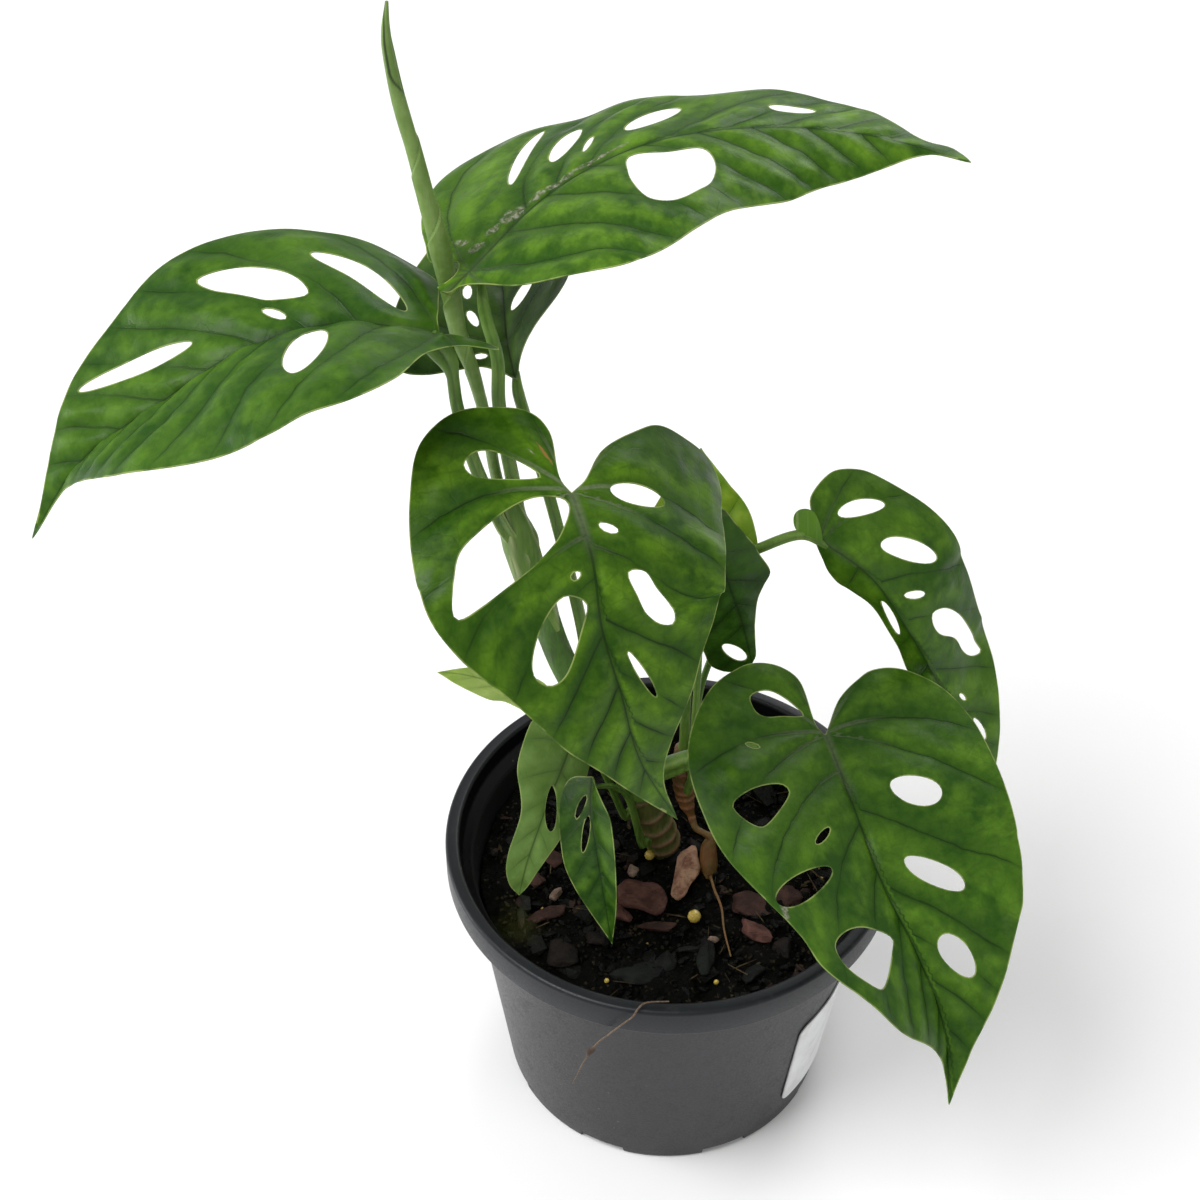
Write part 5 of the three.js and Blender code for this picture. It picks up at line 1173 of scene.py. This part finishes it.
standsFor(stickerForm().piece("sticker", [stickerFinish()], sharp=40), "label", "label")

# Soil: a rough damp surface, then crumbs and flakes scattered over it
soil = dict(level=82, bump=1.1, radius=59.6, step=1.0, floor=5.5, hollow=0.6, moss=(-47, -26))
crumbs = dict(flakes=420, chunks=70, peat=1700, fibres=40, specks=34, seed=4, clear=1.2, reach=58)


# Larger bark chips, the yellow feed beads and the dry stalk that lies over the rim
chips = [dict(at=[5.2, -2.6, 84.4], half=[3.9, 9.8, 2.8], turn=-12, size=1.15, light=True),
         dict(at=[-8, -13.2, 83.7], half=[6.4, 4.8, 1.7], turn=-24, size=1.35, light=False),
         dict(at=[-15.5, -19, 83.0], half=[3.2, 5.2, 1.6], turn=50, size=1.1, light=False),
         dict(at=[27, -24, 83.2], half=[5.5, 2.8, 1.6], turn=-35, size=1.2, light=False)]
beads = [dict(at=[8.5, -20.1, 83.6], radius=2.1), dict(at=[-6.2, 4.5, 83.2], radius=1.6),
         dict(at=[-17.4, -46, 83.2], radius=0.8), dict(at=[15.6, -44.8, 83.2], radius=0.8)]
# Flatter pieces of bark in the soil: place, half length and width, turn and tone
bits = [(-2, -24.3, 6.4, 1.9, 4, "red"), (-8.7, -42.5, 7.6, 4.4, 8, "slate"),
        (-37, -21.1, 6, 2.2, 28, "red"), (-35.4, -12.6, 3, 1.5, 55, "pale"),
        (-37.1, 0.8, 3.2, 4, 0, "red"), (25.5, -13.9, 6, 4.8, -10, "red"),
        (37.9, -10.2, 4.2, 4.2, 0, "red"), (-31.7, -37.4, 4.6, 5.6, 20, "dark"),
        (12.4, -36.5, 2.6, 6, -8, "slate"), (0.2, -37, 3.4, 3.8, 0, "slate"),
        (14.5, -28.9, 1.6, 1.3, 0, "pale"), (-41, -7.6, 2.6, 2.6, 0, "red"),
        (-11.3, -0.8, 1.7, 2.4, 0, "pale"), (27, -40, 4, 2.4, 40, "slate"), (36, -30, 3, 4, 15, "dark"),
        (-22, -30, 3.6, 2.4, -20, "dark"), (-20, 8, 4, 3, 10, "dark"), (22, 12, 5, 3, 30, "slate")]
bitForm = dict(size=1.15, halfHeight=1.2, lift=0.9, roughness=0.4)
dryStalk = dict(
    axis=[[1.5, -66.3, 101.1], [-4.8, -67, 101.1], [-7, -69, 101.2], [-8.8, -71.2, 99.7],
          [-10.5, -71.3, 97.6], [-14.5, -70.6, 91.5], [-19.2, -68.6, 82.5], [-22.8, -66.9, 72],
          [-26.8, -64.3, 56]],
    radii=[0.2, 0.24, 0.26, 0.26, 0.25, 0.24, 0.26, 0.22, 0.14])


def chipShare(x, y):  # under 1 within a bark chip or a bead
    nearest = 9.0
    for chip in chips:
        turn = math.radians(chip["turn"])
        dx, dy = x - chip["at"][0], y - chip["at"][1]
        u = dx * math.cos(turn) + dy * math.sin(turn)
        v = dy * math.cos(turn) - dx * math.sin(turn)
        nearest = min(nearest, math.hypot(u / chip["half"][0], v / chip["half"][1]))
    for bead in beads:
        nearest = min(nearest, math.hypot(x - bead["at"][0], y - bead["at"][1]) / (bead["radius"] + 1.2))
    return nearest


def soilHeight(x, y):
    wide = np.sin(x * 0.31 + 1.3) * np.cos(y * 0.27) + 0.6 * np.sin(x * 0.13 - y * 0.19)
    return soil["level"] + soil["bump"] * wide


def soilForm():
    step = soil["step"]
    radius = soil["radius"]
    rings = int(radius / step)
    points = [[0, 0, 0]]
    rows = []
    for i in range(1, rings + 1):
        r = radius * i / rings
        count = 6 * i
        rows.append((len(points), count))
        t = np.linspace(0, 2 * math.pi, count, endpoint=False)
        points += np.stack([r * np.cos(t), r * np.sin(t), 0 * t], axis=1).tolist()
    points = np.array(points)
    x, y = points[:, 0], points[:, 1]
    grit = np.array([noise.fractal(Vector((a * 0.11, b * 0.11, 3.7)), 0.9, 2.1, 5) for a, b in zip(x, y)])
    lumps = np.array([noise.fractal(Vector((a * 0.32, b * 0.32, 9.1)), 0.8, 2.2, 3) for a, b in zip(x, y)])
    points[:, 2] = soilHeight(x, y) - soil["hollow"] + 2.2 * grit + 0.9 * np.abs(lumps)
    faces = []
    first = rows[0]
    for j in range(first[1]):
        faces.append([0, first[0] + j, first[0] + (j + 1) % first[1]])
    for (a, na), (b, nb) in zip(rows, rows[1:]):
        i = j = 0
        while i < na or j < nb:
            if j < nb and (i >= na or (j + 1) / nb <= (i + 1) / na + 1e-9):
                faces.append([a + i % na, b + j, b + (j + 1) % nb])
                j += 1
            else:
                faces.append([a + i, b + j % nb, a + (i + 1) % na])
                i += 1
    start, count = rows[-1]
    rim = points[start:start + count].copy()
    under = rim.copy()
    under[:, :2] *= (wallRadius(soil["floor"]) - pot["wall"] - 0.5) / radius
    under[:, 2] = soil["floor"]
    low = len(points)
    points = np.vstack([points, under, [[0, 0, soil["floor"]]]])
    for j in range(count):
        k = (j + 1) % count
        faces.append([start + j, low + j, low + k, start + k])
        faces.append([low + count, low + k, low + j])
    form = Form()
    form.add(points, faces)
    return form


def mossShare(f, here):  # a dull green film near the pot's left front
    off = f.node("VectorMath", {0: here, 1: (*soil["moss"], soil["level"])}, operation="DISTANCE")
    off = f.sums("ADD", off.outputs["Value"], f.times(f.cloud(here, 3, 4, 0.7), 9))
    return f.times(f.step(off, 7, 15, 1.0, 0.0), 0.55)


def soilFinish():
    f = Finish("damp soil", 0.85, Specular_IOR_Level=0.06)
    here = f.place()
    grains = f.cells(here, 1.8, "F1", "Color")
    speck = f.cells(here, 0.8, "F1", "Color")
    tone = f.node("SeparateColor", {0: grains}).outputs[0]
    dots = f.node("SeparateColor", {0: speck}).outputs[1]
    patch = f.cloud(here, 12, 4)
    # The near-black tones are partly painted shade between the crumbs, over the damp soil's own dark colour
    base = f.blend(tone, colour(3, 3, 2), colour(13, 12, 9))
    base = f.tint(base, f.step(dots, 0.93, 0.98), 0.6, colour(66, 58, 44))
    base = f.tint(base, f.step(patch, 0.55, 0.72), 0.3, colour(26, 22, 17))
    base = f.blend(mossShare(f, here), base, colour(58, 60, 24))
    height = f.sums("ADD", f.cells(here, 1.8, "F1", "Distance"), f.cloud(here, 0.5, 4, 0.7))
    return f.done(base, f.step(tone, 0.1, 0.9, 0.4, 0.85), height, depth=0.6)


def flakeFinish(name, dark, light, red):
    f = Finish(name, 0.7, Specular_IOR_Level=0.1)
    here = f.place()
    piece = f.node("SeparateColor", {0: f.cells(here, 5.0, "F1", "Color")})
    grain = f.cloud(f.place((1, 0.3, 2.2)), 0.7, 4, 0.65)
    base = f.blend(piece.outputs[0], colour(*dark), colour(*light))
    base = f.tint(base, f.step(piece.outputs[1], 0.86, 0.93), 0.8, colour(*red))
    base = f.tint(base, f.step(grain, 0.25, 0.5, 1.0, 0.0), 0.55, colour(*[0.4 * c for c in dark]))
    base = f.blend(mossShare(f, here), base, colour(58, 60, 24))
    return f.done(base, f.step(grain, 0.3, 0.7, 0.35, 0.7), grain, depth=0.3)


def lump(name, size, stretch, seed, level=2, roughness=0.35, flats=7):  # an irregular broken bit
    mesh = bpy.data.meshes.new(name)
    bm = bmesh.new()
    bmesh.ops.create_icosphere(bm, subdivisions=level, radius=1)
    random = np.random.default_rng(seed)
    cuts = [(Vector(random.normal(size=3)).normalized(), random.uniform(0.5, 0.85)) for _ in range(flats)]
    for v in bm.verts:
        for direction, limit in cuts:
            over = v.co.dot(direction) - limit
            if over > 0:
                v.co -= direction * over
        v.co += v.co.normalized() * roughness * 0.5 * noise.noise(v.co * 1.9 + Vector((seed, 0, 0)))
        v.co = Vector([c * s * size * mm for c, s in zip(v.co, stretch)])
    bm.to_mesh(mesh)
    bm.free()
    made = bpy.data.objects.new(name, mesh)
    bpy.context.scene.collection.objects.link(made)
    made.hide_render = True
    return made


# Scatters shapes over a surface: named inputs set how many, how large and the seed
def scatterTree(name, shapes, finish):
    tree = bpy.data.node_groups.new(name, "GeometryNodeTree")
    face = tree.interface
    face.new_socket("Surface", in_out="INPUT", socket_type="NodeSocketGeometry")
    for label in ("Density", "Smallest", "Largest", "Tilt", "Lift"):
        face.new_socket(label, in_out="INPUT", socket_type="NodeSocketFloat")
    face.new_socket("Seed", in_out="INPUT", socket_type="NodeSocketInt")
    face.new_socket("Bits", in_out="OUTPUT", socket_type="NodeSocketGeometry")
    add = lambda kind: tree.nodes.new(kind)
    link = tree.links.new
    given = add("NodeGroupInput").outputs
    points = add("GeometryNodeDistributePointsOnFaces")
    link(given["Surface"], points.inputs["Mesh"])
    link(given["Density"], points.inputs["Density"])
    link(given["Seed"], points.inputs["Seed"])
    gathered = add("GeometryNodeJoinGeometry")
    for shape in reversed(shapes):
        info = add("GeometryNodeObjectInfo")
        info.inputs["Object"].default_value = shape
        info.inputs["As Instance"].default_value = True
        link(info.outputs["Geometry"], gathered.inputs[0])
    size = add("FunctionNodeRandomValue")
    size.data_type = "FLOAT"
    floats = [s for s in size.inputs if s.type == "VALUE"]
    link(given["Smallest"], floats[0])
    link(given["Largest"], floats[1])
    link(given["Seed"], size.inputs["Seed"])
    spin = add("FunctionNodeRandomValue")
    spin.data_type = "FLOAT_VECTOR"
    lows = add("ShaderNodeCombineXYZ")
    highs = add("ShaderNodeCombineXYZ")
    minus = add("ShaderNodeMath")
    minus.operation = "MULTIPLY"
    minus.inputs[1].default_value = -1
    link(given["Tilt"], minus.inputs[0])
    for k in (0, 1):
        link(minus.outputs[0], lows.inputs[k])
        link(given["Tilt"], highs.inputs[k])
    highs.inputs[2].default_value = 2 * math.pi
    link(lows.outputs[0], spin.inputs[0])
    link(highs.outputs[0], spin.inputs[1])
    link(given["Seed"], spin.inputs["Seed"])
    put = add("GeometryNodeInstanceOnPoints")
    link(points.outputs["Points"], put.inputs["Points"])
    link(gathered.outputs[0], put.inputs["Instance"])
    put.inputs["Pick Instance"].default_value = True
    link(size.outputs[1], put.inputs["Scale"])
    link(spin.outputs[0], put.inputs["Rotation"])
    rise = add("ShaderNodeCombineXYZ")
    link(given["Lift"], rise.inputs[2])
    move = add("GeometryNodeTranslateInstances")
    link(put.outputs[0], move.inputs["Instances"])
    link(rise.outputs[0], move.inputs["Translation"])
    real = add("GeometryNodeRealizeInstances")
    link(move.outputs[0], real.inputs[0])
    paint = add("GeometryNodeSetMaterial")
    paint.inputs["Material"].default_value = finish
    link(real.outputs[0], paint.inputs[0])
    out = add("NodeGroupOutput")
    link(paint.outputs[0], out.inputs[0])
    return tree


def scatter(surface, name, shapes, finish, settings):
    tree = scatterTree(name, shapes, finish)
    carrier = bpy.data.objects.new(name, surface.data)
    bpy.context.scene.collection.objects.link(carrier)
    nodes = carrier.modifiers.new(name, "NODES")
    nodes.node_group = tree
    for item in tree.interface.items_tree:
        if item.in_out == "INPUT" and item.name in settings:
            nodes[item.identifier] = settings[item.name]
    evaluated = carrier.evaluated_get(bpy.context.evaluated_depsgraph_get())
    mesh = bpy.data.meshes.new_from_object(evaluated)
    carrier.modifiers.clear()
    bpy.data.objects.remove(carrier)
    mesh.name = name
    made = bpy.data.objects.new(name, mesh)
    bpy.context.scene.collection.objects.link(made)
    return made


soilPiece = soilForm().piece("soilBed", [soilFinish()])
standsFor(soilPiece, "soil", "soil")


def scatterPatch(reach):  # the soil's top surface, short of the pot's wall
    step = 1.5
    n = int(reach / step)
    form = Form()
    cells = {}
    points = []
    for i in range(-n, n + 1):
        for j in range(-n, n + 1):
            cells[i, j] = len(points)
            points.append([i * step, j * step, float(soilHeight(i * step, j * step)) - soil["hollow"]])
    faces = []
    for i in range(-n, n):
        for j in range(-n, n):
            corners = [(i, j), (i + 1, j), (i + 1, j + 1), (i, j + 1)]
            middle = ((i + 0.5) * step, (j + 0.5) * step)
            if math.hypot(*middle) < reach - 1 and chipShare(*middle) > crumbs["clear"]:
                faces.append([cells[c] for c in corners])
    form.add(points, faces)
    return form.piece("scatterPatch", [])


patch = scatterPatch(crumbs["reach"])
area = math.pi * (crumbs["reach"] * mm) ** 2


def bitShapes(name, seed, sizes, *more):
    return [lump(f"{name}{i}", 1, size, seed + i, 1, *more) for i, size in enumerate(sizes)]


barkFlakes = bitShapes("flake", 20, ((2.4, 1.5, 0.7), (1.9, 1.6, 0.9), (3.2, 1.3, 0.7), (1.6, 1.3, 1.0),
                                     (2.8, 2.1, 0.8)))
peatBits = bitShapes("peat", 40, ((0.8, 0.6, 0.5), (0.6, 0.5, 0.5), (1.0, 0.5, 0.4)))
fibreBits = bitShapes("fibre", 60, ((4.5, 0.16, 0.16), (3.0, 0.22, 0.14)), 0.6)
# The darkest tones of the bark fines and the peat are partly painted shade among the crumbs, over their own
# dark colour
layers = (
    ("soilFlakes", "bark fines", barkFlakes, ((3, 3, 2), (15, 15, 12), (60, 44, 38)),
     dict(Density=crumbs["flakes"], Smallest=0.5, Largest=1.3, Lift=0.4)),
    ("soilChunks", "bark chunks", barkFlakes, ((5, 5, 4), (24, 25, 20), (58, 42, 37)),
     dict(Density=crumbs["chunks"], Smallest=1.3, Largest=2.3, Lift=0.3, Seed=21, Tilt=0.4)),
    ("soilPeat", "peat", peatBits, ((3, 3, 2), (13, 12, 9), (70, 60, 40)),
     dict(Density=crumbs["peat"], Smallest=0.6, Largest=1.5, Lift=0.9, Seed=9)),
    ("soilFibres", "fibre", fibreBits, ((46, 38, 28), (92, 78, 54), (62, 48, 34)),
     dict(Density=crumbs["fibres"], Smallest=0.7, Largest=1.6, Lift=1.5, Seed=3, Tilt=0.22)),
    ("soilSpecks", "tan specks", peatBits, ((132, 108, 60), (190, 160, 96), (120, 80, 44)),
     dict(Density=crumbs["specks"], Smallest=0.5, Largest=1.1, Lift=1.5, Seed=12)))
layersMade = []
for name, finishName, shapes, tones, values in layers:
    values = {"Tilt": 0.6, "Seed": crumbs["seed"], **values}
    values["Density"] /= area
    values["Lift"] *= mm
    layersMade.append(scatter(patch, name, shapes, flakeFinish(finishName, *tones), values))
for made in layersMade:
    standsFor(made, "soil", "soil")
bpy.data.objects.remove(patch)
for shape in barkFlakes + peatBits + fibreBits:
    bpy.data.objects.remove(shape)


def placedMesh(made, matrix):
    made.data.transform(matrix)
    made.hide_render = False
    made.data.shade_smooth()
    return made


def chipFinish(name, main, pale, streakTone):
    f = Finish(name, 0.65, Specular_IOR_Level=0.12)
    grain = f.cloud(f.place((0.35, 1, 2.5)), 0.8, 5, 0.65)
    patch = f.cloud(f.place(), 4, 3)
    base = f.blend(f.step(patch, 0.35, 0.65), colour(*main), colour(*pale))
    base = f.tint(base, f.step(grain, 0.3, 0.5, 1.0, 0.0), 0.6, colour(*streakTone))
    return f.done(base, f.step(grain, 0.3, 0.7, 0.45, 0.75), grain, depth=0.45)


darkChip = chipFinish("bark chip", (82, 52, 47), (112, 76, 68), (44, 28, 24))
lightChip = chipFinish("tan bark chip", (126, 84, 68), (186, 146, 120), (84, 50, 40))
for i, chip in enumerate(chips):
    made = lump(f"barkChip{i + 1}", chip["size"], chip["half"], 80 + i, 4, 0.3)
    turned = Matrix.Rotation(math.radians(chip["turn"]), 4, "Z")
    placedMesh(made, Matrix.Translation(Vector(chip["at"]) * mm) @ turned)
    made.data.materials.append(lightChip if chip["light"] else darkChip)
    standsFor(made, "bark", f"bark_chip_{i + 1}")


def beadFinish():
    f = Finish("feed bead", 0.28, Coat_Weight=0.3)
    mottle = f.cloud(f.place(), 0.9, 3)
    base = f.blend(f.step(mottle, 0.35, 0.65), colour(190, 158, 62), colour(216, 190, 96))
    base = f.tint(base, f.step(mottle, 0.2, 0.38, 1.0, 0.0), 0.5, colour(122, 92, 36))
    return f.done(base, f.step(mottle, 0.3, 0.7, 0.2, 0.4), mottle, depth=0.1)


bitTones = dict(red=((54, 36, 31), (76, 51, 44), (28, 19, 16)),
                slate=((16, 18, 16), (27, 30, 26), (8, 9, 8)),
                dark=((20, 16, 14), (34, 26, 22), (9, 8, 7)),
                pale=((118, 96, 84), (156, 132, 118), (70, 50, 42)))
bitLooks = {tone: chipFinish(f"{tone} bark", *shades) for tone, shades in bitTones.items()}
for i, (x, y, halfLength, halfWidth, turn, tone) in enumerate(bits):
    half = (halfLength, halfWidth, bitForm["halfHeight"])
    made = lump(f"barkBit{i + 1}", bitForm["size"], half, 140 + i, 3, bitForm["roughness"])
    place = Vector((x, y, soilHeight(x, y) + bitForm["lift"])) * mm
    placedMesh(made, Matrix.Translation(place) @ Matrix.Rotation(math.radians(turn), 4, "Z"))
    made.data.materials.append(bitLooks[tone])
    standsFor(made, "bark", "soil")


beadLook = beadFinish()
for i, bead in enumerate(beads):
    made = lump(f"feedBead{i + 1}", bead["radius"], (1, 1, 0.94), 100 + i, 4, 0.16, flats=0)
    placedMesh(made, Matrix.Translation(Vector(bead["at"]) * mm))
    made.data.materials.append(beadLook)
    standsFor(made, "bead", f"feed_bead_{i + 1}")


def dryFinish():
    f = Finish("dry stalk", 0.75)
    grain = f.cloud(f.place(), 0.7, 5, 0.7)
    base = f.blend(f.step(grain, 0.35, 0.65), colour(84, 66, 50), colour(122, 102, 82))
    husk = f.times(f.attribute("husk"), 0.95)
    base = f.blend(husk, base, colour(58, 38, 26))
    return f.done(base, None, grain, depth=0.3)


def drySection(turn, share, along):
    crease = 0.16 * np.sin(4 * turn + 30 * share) + 0.1 * np.sin(7 * turn - 55 * share)
    husk = np.exp(-((share - 0.63) / 0.038) ** 2)
    return 1 + crease + 3.8 * husk * (1 + 0.3 * np.sin(2 * turn + 9 * share))


form = Form()
addBar(form, dryStalk["axis"], dryStalk["radii"], 14, 0.5, drySection,
       husk=lambda turn, share, along: np.clip(1.4 * np.exp(-((share - 0.63) / 0.045) ** 2), 0, 1))
standsFor(form.piece("dryLeafStalk", [dryFinish()]), "dry_stalk", "dry_stalk")

# Floor, light and camera
studio = dict(floor=(250, 250, 250), sky=0.52, keyPower=26.5, fillPower=3.8, rimPower=9, sidePower=4.5)
camera = dict(lens=63, place=(0, -439.2, 592.2), down=42.012, turn=2.864, roll=0.115)

floorMesh = bpy.data.meshes.new("floor")
floorMesh.from_pydata([(-6, -6, 0), (6, -6, 0), (6, 6, 0), (-6, 6, 0)], [], [(0, 1, 2, 3)])
floor = bpy.data.objects.new("floor", floorMesh)
bpy.context.scene.collection.objects.link(floor)
floorFinish = Finish("floor", 0.7)
floorMesh.materials.append(floorFinish.done(colour(*studio["floor"], light=1)))

world = bpy.data.worlds.new("studio")
world.use_nodes = True
world.node_tree.nodes["Background"].inputs[0].default_value = (1, 1, 1, 1)
world.node_tree.nodes["Background"].inputs[1].default_value = studio["sky"]
bpy.context.scene.world = world


def softLight(name, place, target, size, power):
    data = bpy.data.lights.new(name, "AREA")
    data.shape = "DISK"
    data.size = size
    data.energy = power
    made = bpy.data.objects.new(name, data)
    bpy.context.scene.collection.objects.link(made)
    made.location = place
    made.rotation_euler = (Vector(target) - Vector(place)).to_track_quat("-Z", "Y").to_euler()


softLight("key light", (-0.9, -0.5, 1.7), (0, 0, 0.15), 1.1, studio["keyPower"])
softLight("fill light", (1.5, -0.9, 0.9), (0, 0, 0.15), 1.2, studio["fillPower"])
softLight("side light", (-1.2, 0.15, 0.3), (0, 0, 0.05), 0.5, studio["sidePower"])
softLight("back light", (0.5, 1.5, 1.3), (0, 0, 0.2), 1.0, studio["rimPower"])

view = bpy.data.cameras.new("photo view")
view.lens = camera["lens"]
view.sensor_width = 36
view.sensor_fit = "HORIZONTAL"
viewer = bpy.data.objects.new("photo view", view)
bpy.context.scene.collection.objects.link(viewer)
aim = Matrix.Rotation(math.radians(camera["turn"]), 4, "Z")
aim = aim @ Matrix.Rotation(math.radians(90 - camera["down"]), 4, "X")
aim = aim @ Matrix.Rotation(math.radians(camera["roll"]), 4, "Z")
viewer.matrix_world = Matrix.Translation(Vector(camera["place"]) * mm) @ aim
view.clip_start = 0.01
bpy.context.scene.camera = viewer
bpy.context.scene.view_settings.view_transform = "Standard"
